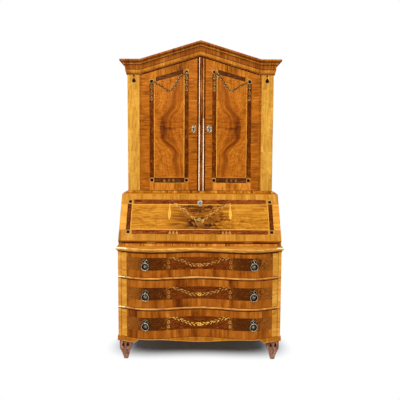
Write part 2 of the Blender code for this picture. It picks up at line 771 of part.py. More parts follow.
def build_drawer(name, level, height):
    """A front that is serpentine outside and flat inside, and the box behind it."""
    half = INSIDE_HALF - DRAWER_SIDE_PLAY
    front = bmesh.new()
    add_plate(front, PLAN, [front_outline(half, DRAWER_FRONT_BACK_Y)], level, level + height)
    add_object(name + "_front", front, WALNUT)
    bottom = level - DRAWER_GAP + FIT
    top = level + height - DRAWER_SIDE_DROP
    start = DRAWER_FRONT_BACK_Y + FIT
    block = bmesh.new()
    add_box(block, (-half, start, bottom), (half, DRAWER_LENGTH, top))
    box = add_object(name + "_box", block, OAK)
    inner = half - DRAWER_SIDE_THICKNESS
    back_y = DRAWER_LENGTH - DRAWER_SIDE_THICKNESS
    base = bottom + DRAWER_BASE_RISE
    rooms = bmesh.new()
    add_box(rooms, (-inner, start - CUT_OVERRUN, base + DRAWER_BASE_THICKNESS),
            (inner, back_y, top + CUT_OVERRUN))
    add_box(rooms, (-inner, start - CUT_OVERRUN, bottom - CUT_OVERRUN), (inner, back_y, base))
    cut(box, add_cutter(name + "_rooms", rooms))


# Ring pulls, drawn about the ring's hinge line with the drawer behind them

def pull_plate_outlines():
    """A rosette below and a ribbon bow above, with a slot through each loop of the bow."""
    centre = (0, -RING_RADIUS)
    neck_u = BOW_OUTLINE_SHARES[0][0] * BOW_HALF_WIDTH
    neck_angle = math.degrees(math.acos(neck_u / ROSETTE_RADIUS))
    half = arc(centre, (ROSETTE_RADIUS, ROSETTE_RADIUS), -84, neck_angle, ROUND_STEPS // 2)
    base = centre[1] + ROSETTE_RADIUS
    half += [(u * BOW_HALF_WIDTH, base + v * BOW_HEIGHT) for u, v in BOW_OUTLINE_SHARES]
    slot_v = base + BOW_HEIGHT / 2
    radii = (BOW_SLOT_HALF_WIDTH, BOW_SLOT_HALF_HEIGHT)
    slots = [arc((side * BOW_SLOT_X, slot_v), radii, 0, 360, EYE_STEPS)[:-1] for side in (-1, 1)]
    return [mirrored(half)] + slots


def pull_plate_mesh():
    """The plate with its boss and the eye that the ring hangs in, as one casting."""
    front_y = EYE_STANDOFF
    plate = bmesh.new()
    add_plate(plate, FRONT, pull_plate_outlines(), front_y, front_y + PLATE_THICKNESS)
    boss = bmesh.new()
    within = front_y + PLATE_THICKNESS / 2
    add_rod(boss, (0, within, -RING_RADIUS), (0, front_y - ROSETTE_BOSS_HEIGHT, -RING_RADIUS),
            ROSETTE_BOSS_RADIUS, ROUND_STEPS, ROSETTE_BOSS_TIP)
    eye_v = EYE_HOLE - RING_WIRE - FIT
    outer = EYE_HOLE + EYE_WALL
    lug = arc((0, eye_v), (outer, outer), 90, 270, EYE_STEPS)
    lug += [(within, eye_v - outer), (within, eye_v + outer)]
    hole = arc((0, eye_v), (EYE_HOLE, EYE_HOLE), 0, 360, EYE_STEPS)[:-1]
    eye = bmesh.new()
    add_plate(eye, SIDE, [lug, hole], -EYE_WIDTH / 2, EYE_WIDTH / 2)
    casting = united(plate, boss, eye)
    mesh = bpy.data.meshes.new("pull_plate")
    casting.to_mesh(mesh)
    casting.free()
    return mesh


def ring_mesh():
    bpy.ops.mesh.primitive_torus_add(
        major_segments=RING_STEPS, minor_segments=RING_SIDES,
        major_radius=RING_RADIUS, minor_radius=RING_WIRE)
    blank = bpy.context.active_object
    mesh = blank.data
    bpy.data.objects.remove(blank)
    mesh.transform(Matrix.Translation((0, 0, -RING_RADIUS)) @ Matrix.Rotation(math.pi / 2, 4, "X"))
    mesh.shade_smooth()
    return mesh


def pull_place(side, level, height, rise):
    """Where a pull's ring hangs: before the drawer's front, turned with its curve."""
    x = side * PULL_X
    plate_low = -RING_RADIUS - ROSETTE_RADIUS
    plate_high = -RING_RADIUS + ROSETTE_RADIUS + BOW_HEIGHT
    z = level + height / 2 + rise - (plate_low + plate_high) / 2
    turn = Matrix.Rotation(front_slope(x), 4, "Z")
    reach = EYE_STANDOFF + PLATE_THICKNESS + FIT
    point = Vector((x, front_line(x), z)) + turn @ Vector((0, -reach, 0))
    return Matrix.Translation(point) @ turn


def build_pulls():
    plate_shape = pull_plate_mesh()
    ring_shape = ring_mesh()
    for name, level, height, rise in zip(DRAWER_NAMES, drawer_levels(), DRAWER_HEIGHTS, PULL_RISES):
        for side, word in ((-1, "left"), (1, "right")):
            place = pull_place(side, level, height, rise)
            for piece, mesh in (("pull_plate", plate_shape), ("ring", ring_shape)):
                obj = bpy.data.objects.new(f"{name}_{piece}_{word}", mesh.copy())
                parts.objects.link(obj)
                obj.parent = case_frame
                obj.matrix_local = place
                give_material(obj, SILVERED_BRASS)


# Fall and desk

def add_hinge_half(bm, leaf_band, with_bore, low, high, place):
    """One hinge half: a knuckle round the pin, with a leaf that runs back from it."""
    band_low, band_high = leaf_band
    start = math.degrees(math.asin(band_high / FALL_HINGE_RADIUS))
    end = 360 + math.degrees(math.asin(band_low / FALL_HINGE_RADIUS))
    outline = arc((0, 0), (FALL_HINGE_RADIUS, FALL_HINGE_RADIUS), start, end, HINGE_STEPS)
    outline += [(FALL_HINGE_LEAF_DEPTH, band_low), (FALL_HINGE_LEAF_DEPTH, band_high)]
    outlines = [outline]
    if with_bore:
        outlines.append(arc((0, 0), (FALL_HINGE_BORE, FALL_HINGE_BORE), 0, 360, HINGE_STEPS)[:-1])
    add_plate(bm, SIDE, outlines, low, high, place)


def fall_hinges():
    """Name, and X range of the fixed and of the moving half, of each fall hinge."""
    hinges = []
    for word, side in (("left", -1), ("right", 1)):
        x = side * FALL_HINGE_SHARE * INSIDE_HALF
        fixed = (x - FALL_HINGE_KNUCKLE, x - FIT / 2)
        moving = (x + FIT / 2, x + FALL_HINGE_KNUCKLE)
        hinges.append((f"fall_hinge_{word}", fixed, moving))
    return hinges


def fall_hinge_frame(angle):
    return Matrix.Translation((0, FALL_HINGE_Y, FALL_HINGE_Z)) @ Matrix.Rotation(angle, 4, "X")


def hinge_pockets(angle, side):
    """Room for the knuckles and for one leaf, in a board whose face leaves the hinge at this angle."""
    pockets = bmesh.new()
    for _, fixed, moving in fall_hinges():
        add_rod(pockets, (fixed[0] - FIT, 0, 0), (moving[1] + FIT, 0, 0), FALL_HINGE_RADIUS + 2 * FIT)
        span = fixed if side < 0 else moving
        edges = sorted((side * (FALL_HINGE_LEAF + FIT), -side * CUT_OVERRUN))
        add_box(pockets, (span[0] - FIT, 0, edges[0]),
                (span[1] + FIT, FALL_HINGE_LEAF_DEPTH + FIT, edges[1]))
    bmesh.ops.transform(pockets, matrix=fall_hinge_frame(angle), verts=pockets.verts)
    return pockets


def build_fall():
    out_y = FALL_THICKNESS * math.sin(FALL_SLOPE)
    out_z = FALL_THICKNESS * math.cos(FALL_SLOPE)
    top_y = slope_y(DESK_TOP_Z)
    outline = [
        (FALL_HINGE_Y, FALL_HINGE_Z), (top_y, DESK_TOP_Z),
        (top_y - FALL_THICKNESS / math.sin(FALL_SLOPE), DESK_TOP_Z),
        (FALL_HINGE_Y - out_y, FALL_HINGE_Z + out_z),
    ]
    bm = bmesh.new()
    add_plate(bm, SIDE, [outline], -HALF_WIDTH, HALF_WIDTH)
    pivot = (0, FALL_HINGE_Y, FALL_HINGE_Z)
    fall = add_object("fall_board", bm, WALNUT, pivot)
    cut(fall, add_cutter("fall_hinge_pockets", hinge_pockets(FALL_SLOPE, 1)))
    for name, fixed, moving in fall_hinges():
        leaf = bmesh.new()
        add_hinge_half(leaf, (0, FALL_HINGE_LEAF), True, *moving, fall_hinge_frame(FALL_SLOPE))
        add_object(name + "_leaf", leaf, BRASS, pivot)
        base = bmesh.new()
        add_hinge_half(base, (-FALL_HINGE_LEAF, 0), False, *fixed, fall_hinge_frame(0))
        pin = bmesh.new()
        middle = (fixed[0] + fixed[1]) / 2
        add_rod(pin, (middle, FALL_HINGE_Y, FALL_HINGE_Z), (moving[1], FALL_HINGE_Y, FALL_HINGE_Z),
                FALL_HINGE_BORE - HINGE_PIN_PLAY)
        add_object(name, united(base, pin), BRASS)
    plate = bmesh.new()
    add_escutcheon(plate, ESCUTCHEON_WIDTH, slope_matrix(FALL_ESCUTCHEON_ALONG))
    add_object("fall_escutcheon", plate, SILVERED_BRASS, pivot)


def build_desk():
    half = INSIDE_HALF - FIT
    bm = bmesh.new()
    add_box(bm, (-half, FALL_HINGE_Y + FALL_PLAY, CHEST_TOP_Z + FIT),
            (half, CASE_INNER_BACK_Y - FIT, FALL_HINGE_Z))
    floor = add_object("desk_floor", bm, WALNUT)
    cut(floor, add_cutter("floor_hinge_pockets", hinge_pockets(0, -1)))
    bm = bmesh.new()
    under = DESK_TOP_Z - DESK_TOP_THICKNESS
    back = CASE_INNER_BACK_Y - FIT
    outline = [(slope_y(under) + FALL_PLAY, under), (back, under), (back, DESK_TOP_Z),
               (slope_y(DESK_TOP_Z) + FALL_PLAY, DESK_TOP_Z)]
    add_plate(bm, SIDE, [outline], -half, half)
    add_object("desk_top", bm, WALNUT)


# Gallery

def gallery_levels():
    """Height of the floor, of the shelf's two faces and of the ceiling."""
    shelf = FALL_HINGE_Z + SMALL_DRAWER_BAY
    return FALL_HINGE_Z, shelf, shelf + GALLERY_BOARD, DESK_TOP_Z - DESK_TOP_THICKNESS


def build_gallery():
    """One housed frame: a shelf, two uprights below it and the pigeonholes' dividers above."""
    floor, shelf_low, shelf_high, ceiling = gallery_levels()
    half = INSIDE_HALF - FIT
    back = CASE_INNER_BACK_Y - FIT
    middle = (shelf_low + shelf_high) / 2
    shelf = bmesh.new()
    add_box(shelf, (-half, GALLERY_FRONT_Y, shelf_low), (half, back, shelf_high))
    uprights = []
    for side in (-1, 1):
        upright = bmesh.new()
        edges = sorted((side * CENTRE_BAY_WIDTH / 2, side * (CENTRE_BAY_WIDTH / 2 + GALLERY_BOARD)))
        add_box(upright, (edges[0], GALLERY_FRONT_Y, floor + FIT), (edges[1], back, middle))
        uprights.append(upright)
    pitch = 2 * half / PIGEONHOLES
    for i in range(1, PIGEONHOLES):
        x = -half + pitch * i
        upright = bmesh.new()
        add_box(upright, (x - GALLERY_BOARD / 2, GALLERY_FRONT_Y, middle),
                (x + GALLERY_BOARD / 2, back, ceiling - FIT))
        uprights.append(upright)
    add_object("gallery", united(shelf, *uprights), WALNUT)


def build_small_drawers():
    floor, shelf_low, _, _ = gallery_levels()
    inner = CENTRE_BAY_WIDTH / 2 + GALLERY_BOARD + SMALL_DRAWER_PLAY
    outer = INSIDE_HALF - FIT - SMALL_DRAWER_PLAY
    back = CASE_INNER_BACK_Y - SMALL_DRAWER_PLAY
    low, high = floor + FIT, shelf_low - SMALL_DRAWER_PLAY
    neck = SMALL_KNOB_LENGTH / 2
    profile = [(0, SMALL_KNOB_LENGTH)]
    profile += [(SMALL_KNOB_RADIUS * u, neck + neck * v) for u, v in SMALL_KNOB_SHARES]
    profile += [(SMALL_KNOB_NECK, neck), (SMALL_KNOB_NECK, -JOINT_OVERLAP), (0, -JOINT_OVERLAP)]
    for name, side in (("small_drawer_left", -1), ("small_drawer_right", 1)):
        edges = sorted((side * inner, side * outer))
        box = bmesh.new()
        add_box(box, (edges[0], GALLERY_FRONT_Y, low), (edges[1], back, high))
        knob = bmesh.new()
        middle = ((edges[0] + edges[1]) / 2, GALLERY_FRONT_Y, (low + high) / 2)
        forward = Matrix.Rotation(math.pi / 2, 4, "X")
        add_turned(knob, profile, EYE_STEPS, Matrix.Translation(middle) @ forward)
        drawer = add_object(name, united(box, knob), WALNUT)
        room = bmesh.new()
        add_box(room, (edges[0] + SMALL_DRAWER_WALL, GALLERY_FRONT_Y + SMALL_DRAWER_FRONT,
                       low + SMALL_DRAWER_BASE),
                (edges[1] - SMALL_DRAWER_WALL, back - SMALL_DRAWER_WALL, high + CUT_OVERRUN))
        cut(drawer, add_cutter(name + "_room", room))


# Upper cabinet

def roof_outline(low_drop, high_drop):
    """A board that follows the pediment across the cabinet, by its depths below the cornice's top."""
    xs = (-CABINET_HALF, -PILASTER_X, 0, PILASTER_X, CABINET_HALF)
    lower = [(x, eaves_height(x) + CORNICE_HEIGHT - low_drop) for x in xs]
    upper = [(x, eaves_height(x) + CORNICE_HEIGHT - high_drop) for x in reversed(xs)]
    return lower, upper


def base_section():
    """Moulding round the cabinet's base: a hollow that sweeps out to a thin tip."""
    reach = BASE_MOULDING_PROUD - BASE_MOULDING_TIP
    rise = BASE_MOULDING_HEIGHT - BASE_MOULDING_TIP
    hollow = arc((BASE_MOULDING_PROUD, BASE_MOULDING_HEIGHT), (reach, rise), 270, 180, WAIST_BEAD_STEPS)
    return ([(-JOINT_OVERLAP, FIT), (BASE_MOULDING_PROUD, FIT)] + hollow
            + [(-JOINT_OVERLAP, BASE_MOULDING_HEIGHT)])


def add_pivot_pins(bm, low, high, radius):
    for side in (-1, 1):
        add_rod(bm, (side * PIVOT_X, PIVOT_Y, low), (side * PIVOT_X, PIVOT_Y, high), radius)


def build_cabinet_base():
    """The board under the upper cabinet, with a moulded edge and the sockets of the lower pivots."""
    section = base_section()
    corners = ((-1, CASE_DEPTH, 0), (-1, CABINET_FRONT_Y, -1), (1, CABINET_FRONT_Y, -1), (1, CASE_DEPTH, 0))
    edge = bmesh.new()
    add_loft(edge, [section_ring(section, side * CABINET_HALF, y, side, y_way, DESK_TOP_Z)
                    for side, y, y_way in corners])
    board = bmesh.new()
    add_box(board, (-CABINET_HALF, CABINET_FRONT_Y, DESK_TOP_Z + FIT),
            (CABINET_HALF, CASE_DEPTH, CABINET_BASE_Z))
    base = add_object("cabinet_base", united(board, edge), YELLOW_WALNUT)
    sockets = bmesh.new()
    low, high = CABINET_BASE_Z - PIVOT_IN_CASE, CABINET_BASE_Z + CUT_OVERRUN
    add_pivot_pins(sockets, low, high, PIVOT_RADIUS + FIT)
    cut(base, add_cutter("lower_pivot_sockets", sockets))


def build_cabinet_case():
    roof_under = ROOF_RECESS + ROOF_THICKNESS
    side_top = EAVES_Z + CORNICE_HEIGHT - roof_under - FIT
    pilaster_top = EAVES_Z - FIT
    low = CABINET_BASE_Z + FIT
    inner = CABINET_HALF - SIDE_THICKNESS
    behind = PILASTER_BACK_Y + FIT
    outline = [(CABINET_FRONT_Y, low), (CASE_INNER_BACK_Y, low), (CASE_INNER_BACK_Y, side_top),
               (behind, side_top), (behind, pilaster_top), (CABINET_FRONT_Y, pilaster_top)]
    for name, side in (("cabinet_side_left", -1), ("cabinet_side_right", 1)):
        board = bmesh.new()
        add_plate(board, SIDE, [outline], *sorted((side * inner, side * CABINET_HALF)))
        pilaster = bmesh.new()
        edges = sorted((side * PILASTER_X, side * (inner + SIDE_THICKNESS / 2)))
        add_box(pilaster, (edges[0], CABINET_FRONT_Y, low), (edges[1], PILASTER_BACK_Y, pilaster_top))
        add_object(name, united(board, pilaster), YELLOW_WALNUT)
    roof_low, roof_high = roof_outline(roof_under, ROOF_RECESS)
    bm = bmesh.new()
    add_plate(bm, FRONT, [[(-CABINET_HALF, low), (CABINET_HALF, low)] + roof_high],
              CASE_DEPTH - BACK_THICKNESS, CASE_DEPTH)
    add_object("cabinet_back", bm, PINE)
    bm = bmesh.new()
    add_plate(bm, FRONT, [roof_low + roof_high], behind, CASE_INNER_BACK_Y)
    add_object("cabinet_roof", bm, PINE)


def shelf_level():
    return CABINET_BASE_Z + OPENING_HEIGHT * SHELF_PLACE_SHARE


def build_shelf():
    bm = bmesh.new()
    half = CABINET_HALF - SIDE_THICKNESS - FIT
    z = shelf_level()
    add_box(bm, (-half, CABINET_FRONT_Y + SHELF_SETBACK, z),
            (half, CASE_INNER_BACK_Y - FIT, z + SHELF_THICKNESS))
    add_object("cabinet_shelf", bm, WALNUT)


def cornice_section(inner):
    """Cornice as (proud, height) points from its foot up: a bead, a deep hollow and a square fillet."""
    bead_radii = (CORNICE_BEAD_PROUD - CORNICE_HEEL, CORNICE_BEAD_HEIGHT / 2)
    bead = arc((CORNICE_HEEL, CORNICE_BEAD_HEIGHT / 2), bead_radii, -90, 90, CORNICE_STEPS)
    lip = CORNICE_PROUD - CORNICE_FILLET_STEP
    top = CORNICE_HEIGHT - CORNICE_FILLET
    foot = CORNICE_BEAD_HEIGHT + CORNICE_FILLET_STEP
    reach = lip - CORNICE_HEEL - CORNICE_FILLET_STEP
    hollow = arc((lip, foot), (reach, top - foot), 180, 90, CORNICE_STEPS)
    fillet = [(CORNICE_PROUD, top), (CORNICE_PROUD, CORNICE_HEIGHT)]
    return [(inner, 0)] + bead + hollow + fillet + [(inner, CORNICE_HEIGHT)]


def build_cornice():
    """The raked and level mouldings on the rail over the doors, and their returns down the sides."""
    outside = cornice_section(FIT)
    inside = cornice_section(-JOINT_OVERLAP)
    front = CABINET_FRONT_Y
    rings = []
    for side in (-1, 1):
        half = [section_ring(outside, side * CABINET_HALF, CASE_DEPTH, side, 0, EAVES_Z),
                section_ring(outside, side * CABINET_HALF, PILASTER_BACK_Y, side, 0, EAVES_Z),
                section_ring(inside, side * CABINET_HALF, front, side, -1, EAVES_Z),
                section_ring(inside, side * PILASTER_X, front, 0, -1, EAVES_Z)]
        if side < 0:
            rings += half + [section_ring(inside, 0, front, 0, -1, eaves_height(0))]
        else:
            rings += half[::-1]
    moulding = bmesh.new()
    add_loft(moulding, rings)
    rail = bmesh.new()
    rail_low, rail_high = roof_outline(CORNICE_HEIGHT, 0)
    add_plate(rail, FRONT, [rail_low + rail_high], front, PILASTER_BACK_Y)
    cornice = add_object("cornice", united(rail, moulding), YELLOW_WALNUT)
    sockets = bmesh.new()
    low = eaves_height(PIVOT_X)
    add_pivot_pins(sockets, low - CUT_OVERRUN, low + PIVOT_IN_CASE + FIT, PIVOT_RADIUS + FIT)
    cut(cornice, add_cutter("upper_pivot_sockets", sockets))


# Doors

def door_plan(side):
    """Plan of a door, its outer front corner rounded about the pivot so that it can turn."""
    hinged = side * (PILASTER_X - DOOR_EDGE_GAP)
    free = DOOR_MEETING_X + side * DOOR_MEETING_GAP / 2
    start = 180 if side < 0 else 360
    corner = arc((side * PIVOT_X, PIVOT_Y), (PIVOT_INSET, PIVOT_INSET), start, 270, PIVOT_EDGE_STEPS)
    return [(hinged, DOOR_BACK_Y)] + corner + [(free, CABINET_FRONT_Y), (free, DOOR_BACK_Y)]


def above_the_doors():
    """Waste above the doors' raked top edge."""
    half = PILASTER_X
    high = door_top(0) + CUT_OVERRUN
    waste = bmesh.new()
    low = door_top(half)
    outline = [(-half, low), (0, door_top(0)), (half, low), (half, high), (-half, high)]
    add_plate(waste, FRONT, [outline], CABINET_FRONT_Y - 2 * ASTRAGAL_PROUD, DOOR_BACK_Y + CUT_OVERRUN)
    return waste


def build_doors():
    bottom = DOOR_BOTTOM_Z
    waste = add_cutter("above_the_doors", above_the_doors())
    for name, side in (("door_left", -1), ("door_right", 1)):
        pivot = (side * PIVOT_X, PIVOT_Y, bottom)
        bm = bmesh.new()
        add_plate(bm, PLAN, [door_plan(side)], bottom, door_top(0))
        door = add_object(name, bm, WALNUT, pivot)
        cut(door, waste)
        bores = bmesh.new()
        top = door_top(PIVOT_X)
        add_pivot_pins(bores, bottom - CUT_OVERRUN, bottom + PIVOT_IN_DOOR, PIVOT_RADIUS + FIT)
        add_pivot_pins(bores, top - PIVOT_IN_DOOR, top + CUT_OVERRUN, PIVOT_RADIUS + FIT)
        cut(door, add_cutter(name + "_pivot_bores", bores))
        ends = (("lower", CABINET_BASE_Z - PIVOT_IN_CASE + FIT, bottom + PIVOT_IN_DOOR - FIT),
                ("upper", top - PIVOT_IN_DOOR + FIT, eaves_height(PIVOT_X) + PIVOT_IN_CASE))
        for word, low, high in ends:
            pin = bmesh.new()
            add_rod(pin, (*pivot[:2], low), (*pivot[:2], high), PIVOT_RADIUS)
            add_object(f"{name}_pivot_{word}", pin, STEEL)
    build_astragal(waste)


def build_astragal(waste):
    """The reeded strip on the right door that covers the gap between the two."""
    left = DOOR_MEETING_X + DOOR_MEETING_GAP / 2
    back = CABINET_FRONT_Y - FIT
    reed = ASTRAGAL_WIDTH / ASTRAGAL_REEDS
    depth = ASTRAGAL_PROUD / 2
    outline = [(left, back)]
    for i in range(ASTRAGAL_REEDS):
        centre = (left + reed * (i + 0.5), back - depth)
        outline += arc(centre, (reed / 2, depth), 180, 360, ASTRAGAL_STEPS)[:-1]
    outline += [(left + ASTRAGAL_WIDTH, back - depth), (left + ASTRAGAL_WIDTH, back)]
    bm = bmesh.new()
    add_plate(bm, PLAN, [outline], DOOR_BOTTOM_Z, door_top(0))
    astragal = add_object("door_astragal", bm, YELLOW_WALNUT, (PIVOT_X, PIVOT_Y, DOOR_BOTTOM_Z))
    cut(astragal, waste)


def add_escutcheon(bm, width, place):
    """A keyhole plate whose back lies on the place's XZ plane."""
    half = [(u * width / 2, v * ESCUTCHEON_HEIGHT / 2) for u, v in ESCUTCHEON_OUTLINE_SHARES]
    slot_angle = math.degrees(math.asin(KEYHOLE_SLOT / KEYHOLE_RADIUS))
    keyhole = arc((0, 0), (KEYHOLE_RADIUS, KEYHOLE_RADIUS), slot_angle - 90, 270 - slot_angle, EYE_STEPS)
    keyhole += [(-KEYHOLE_SLOT, -KEYHOLE_DROP), (KEYHOLE_SLOT, -KEYHOLE_DROP)]
    add_plate(bm, FRONT, [mirrored(half), keyhole], -ESCUTCHEON_THICKNESS - FIT, -FIT, place)


def build_door_escutcheons():
    places = (("door_escutcheon_left", DOOR_ESCUTCHEON_X_LEFT, DOOR_ESCUTCHEON_WIDTH_LEFT, -1),
              ("door_escutcheon_right", DOOR_ESCUTCHEON_X_RIGHT, DOOR_ESCUTCHEON_WIDTH_RIGHT, 1))
    for name, x, width, side in places:
        bm = bmesh.new()
        add_escutcheon(bm, width, Matrix.Translation((x, CABINET_FRONT_Y, ESCUTCHEON_Z)))
        add_object(name, bm, SILVERED_BRASS, (side * PIVOT_X, PIVOT_Y, DOOR_BOTTOM_Z))


def centre_footprint():
    """Move the case frame so that the whole object's depth is centred on the origin."""
    bpy.context.view_layer.update()
    depths = [(obj.matrix_world @ Vector(corner)).y for obj in parts.objects if obj.type == "MESH"
              for corner in obj.bound_box]
    case_frame.location.y = -(min(depths) + max(depths)) / 2
    bpy.context.view_layer.update()


for old in list(bpy.data.objects):
    bpy.data.objects.remove(old)
parts = new_collection("secretaire_cabinet")
cutters = new_collection("cutters")
case_frame = bpy.data.objects.new("case_frame", None)
parts.objects.link(case_frame)

build_feet()
build_plinth()
build_chest_bottom()
build_case_sides()
build_dust_boards()
for drawer_name, drawer_level, drawer_height in zip(DRAWER_NAMES, drawer_levels(), DRAWER_HEIGHTS):
    build_drawer(drawer_name, drawer_level, drawer_height)
build_pulls()
build_chest_top()
build_waist_moulding()
build_lopers()
build_desk()
build_gallery()
build_small_drawers()
build_fall()
build_cabinet_base()
build_cabinet_case()
build_shelf()
build_cornice()
build_doors()
build_door_escutcheons()
centre_footprint()
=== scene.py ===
# Secretaire cabinet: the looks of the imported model. Metres, +Z up, the front faces -Y.
# Veneers and inlays are thin solids laid on the CAD faces; the mouldings, the drawer fronts, the feet
# and the metalwork are smooth pieces that stand for the faceted CAD nodes.

import math

import bmesh
import bpy
from mathutils import Matrix, Vector


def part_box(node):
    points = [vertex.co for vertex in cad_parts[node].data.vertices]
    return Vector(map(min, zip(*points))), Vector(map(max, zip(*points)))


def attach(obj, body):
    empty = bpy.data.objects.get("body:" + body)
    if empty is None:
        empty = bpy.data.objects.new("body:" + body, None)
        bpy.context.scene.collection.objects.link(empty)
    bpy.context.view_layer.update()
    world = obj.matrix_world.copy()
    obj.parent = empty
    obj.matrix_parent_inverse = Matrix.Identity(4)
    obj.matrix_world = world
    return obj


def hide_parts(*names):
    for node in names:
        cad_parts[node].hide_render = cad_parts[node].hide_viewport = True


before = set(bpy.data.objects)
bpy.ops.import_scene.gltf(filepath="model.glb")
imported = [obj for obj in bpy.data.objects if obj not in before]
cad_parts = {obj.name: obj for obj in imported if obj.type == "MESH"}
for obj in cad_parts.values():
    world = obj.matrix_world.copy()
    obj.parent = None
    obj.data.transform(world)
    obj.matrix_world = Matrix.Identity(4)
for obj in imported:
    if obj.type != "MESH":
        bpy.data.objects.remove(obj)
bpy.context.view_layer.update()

# Where the CAD faces are
CASE_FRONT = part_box("case_side_left")[0].y
CASE_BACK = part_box("case_back")[1].y
CHEST_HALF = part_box("case_side_right")[1].x
DOOR_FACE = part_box("door_left")[0].y
DOOR_FOOT_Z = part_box("door_left")[0].z
DOOR_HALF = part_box("door_right")[1].x
PILASTER_BACK = DOOR_FACE + 0.020
CABINET_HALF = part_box("cabinet_side_right")[1].x
PILASTER_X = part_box("cabinet_side_right")[0].x
EAVES_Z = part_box("cornice")[0].z
PEDIMENT_RISE = 0.129
CORNICE_HEIGHT = 0.100
DOOR_TOP_GAP = 0.006
CHEST_TOP_UNDER_Z, CHEST_TOP_Z = (corner.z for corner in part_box("chest_top"))
PLINTH_TOP_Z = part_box("plinth")[1].z
FOOT_HEIGHT = 0.143

# The serpentine front, as in the CAD
PEAK_X = 0.33
BULGE = 0.065
CENTRE = 0.013
INSIDE_HALF = 0.53
FRONT_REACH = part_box("bottom_drawer_front")[0].y
FINE_STEP = 0.007

# The fall's slope
FALL_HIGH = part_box("fall_board")[1]
FALL_SLOPE = math.radians(55)
FALL_UP = Vector((0, math.cos(FALL_SLOPE), math.sin(FALL_SLOPE)))
FALL_OUT = Vector((0, -math.sin(FALL_SLOPE), math.cos(FALL_SLOPE)))
FALL_THICKNESS = 0.025
FALL_HINGE = Vector((0, CASE_FRONT + 0.031, CHEST_TOP_Z + 0.0005 + FALL_THICKNESS))
FALL_LENGTH = (FALL_HIGH.z - FALL_HINGE.z - FALL_THICKNESS * math.cos(FALL_SLOPE)) / math.sin(FALL_SLOPE)

# How far each layer stands above the face that carries it, and how far its back is let into it
BEDDED = -0.0003
VENEER = 0.0004
BANDING = 0.0005
STRINGING = 0.0006
INLAY = 0.0008
# The open fall lies 0.5 mm over the chest's top, so its layers have only this share of that
FALL_LAYER_SHARE = 0.55

# Sizes of the wood's own pattern. Walnut's pores are about 0.2 mm wide and are drawn wider, to show
FIBRE_STRETCH = 9
STREAK_LENGTH, STREAK_WIDTH = 0.09, 0.0050
CLOUD_SIZE = 0.09
PORE_LENGTH, PORE_WIDTH = 0.012, 0.0009
FINE_RING = 0.004
PORE_RELIEF = 0.0004
# Polish on old wood shines little: more than this lays a white haze on faces seen at a flat angle
POLISH_SPECULAR = 0.035
# How far the pattern moves from one drawer's level to the next
TIER_SHIFT = 23.9


# Shader nodes

def linear(hex_text):
    """The linear RGBA of an sRGB hex colour."""
    channels = []
    for start in (1, 3, 5):
        value = int(hex_text[start:start + 2], 16) / 255
        channels.append(value / 12.92 if value <= 0.04045 else ((value + 0.055) / 1.055) ** 2.4)
    return (*channels, 1.0)


def add_node(tree, kind, links=None, stops=None, **settings):
    """Add a node. links gives each input socket a value, a node or one of another node's outputs."""
    node = tree.nodes.new(kind)
    for name, value in settings.items():
        setattr(node, name, value)
    for socket, value in (links or {}).items():
        if isinstance(value, bpy.types.Node):
            value = value.outputs[0]
        if isinstance(value, bpy.types.NodeSocket):
            tree.links.new(value, node.inputs[socket])
        else:
            node.inputs[socket].default_value = value
    if stops:
        elements = node.color_ramp.elements
        while len(elements) < len(stops):
            elements.new(0.5)
        for element, (place, colour) in zip(elements, stops):
            element.position = place
            element.color = linear(colour)
    return node


def new_material(name):
    """A material, its empty tree and the place of each point on the piece."""
    material = bpy.data.materials.new(name)
    material.use_nodes = True
    tree = material.node_tree
    tree.nodes.clear()
    return material, tree, add_node(tree, "ShaderNodeTexCoord").outputs["Object"]


def end_material(tree, links):
    """The Principled shader; uniform values sit on its own sockets."""
    add_node(tree, "ShaderNodeOutputMaterial", {0: add_node(tree, "ShaderNodeBsdfPrincipled", links)})


def stretched(tree, point, grain, along, across):
    """Coordinates in which a wood pattern is drawn out along the grain; sizes in metres.
    On a moulded or sloping face the grain runs along two axes at once."""
    return add_node(tree, "ShaderNodeMapping", {
        "Vector": point, "Scale": [1 / along if axis in grain else 1 / across for axis in "xyz"]})


def soft_spot(tree, point, centre, reach):
    """A mask of 1 at centre that fades to 0 at reach, both in metres along X, Y and Z."""
    place = add_node(tree, "ShaderNodeVectorMath", {0: point, 1: centre}, operation="SUBTRACT")
    place = add_node(tree, "ShaderNodeVectorMath", {0: place, 1: reach}, operation="DIVIDE")
    away = add_node(tree, "ShaderNodeVectorMath", {0: place}, operation="LENGTH").outputs["Value"]
    return add_node(tree, "ShaderNodeMapRange", {
        "Value": away, "From Min": 0.2, "To Min": 1.0, "To Max": 0.0}, interpolation_type="SMOOTHSTEP")


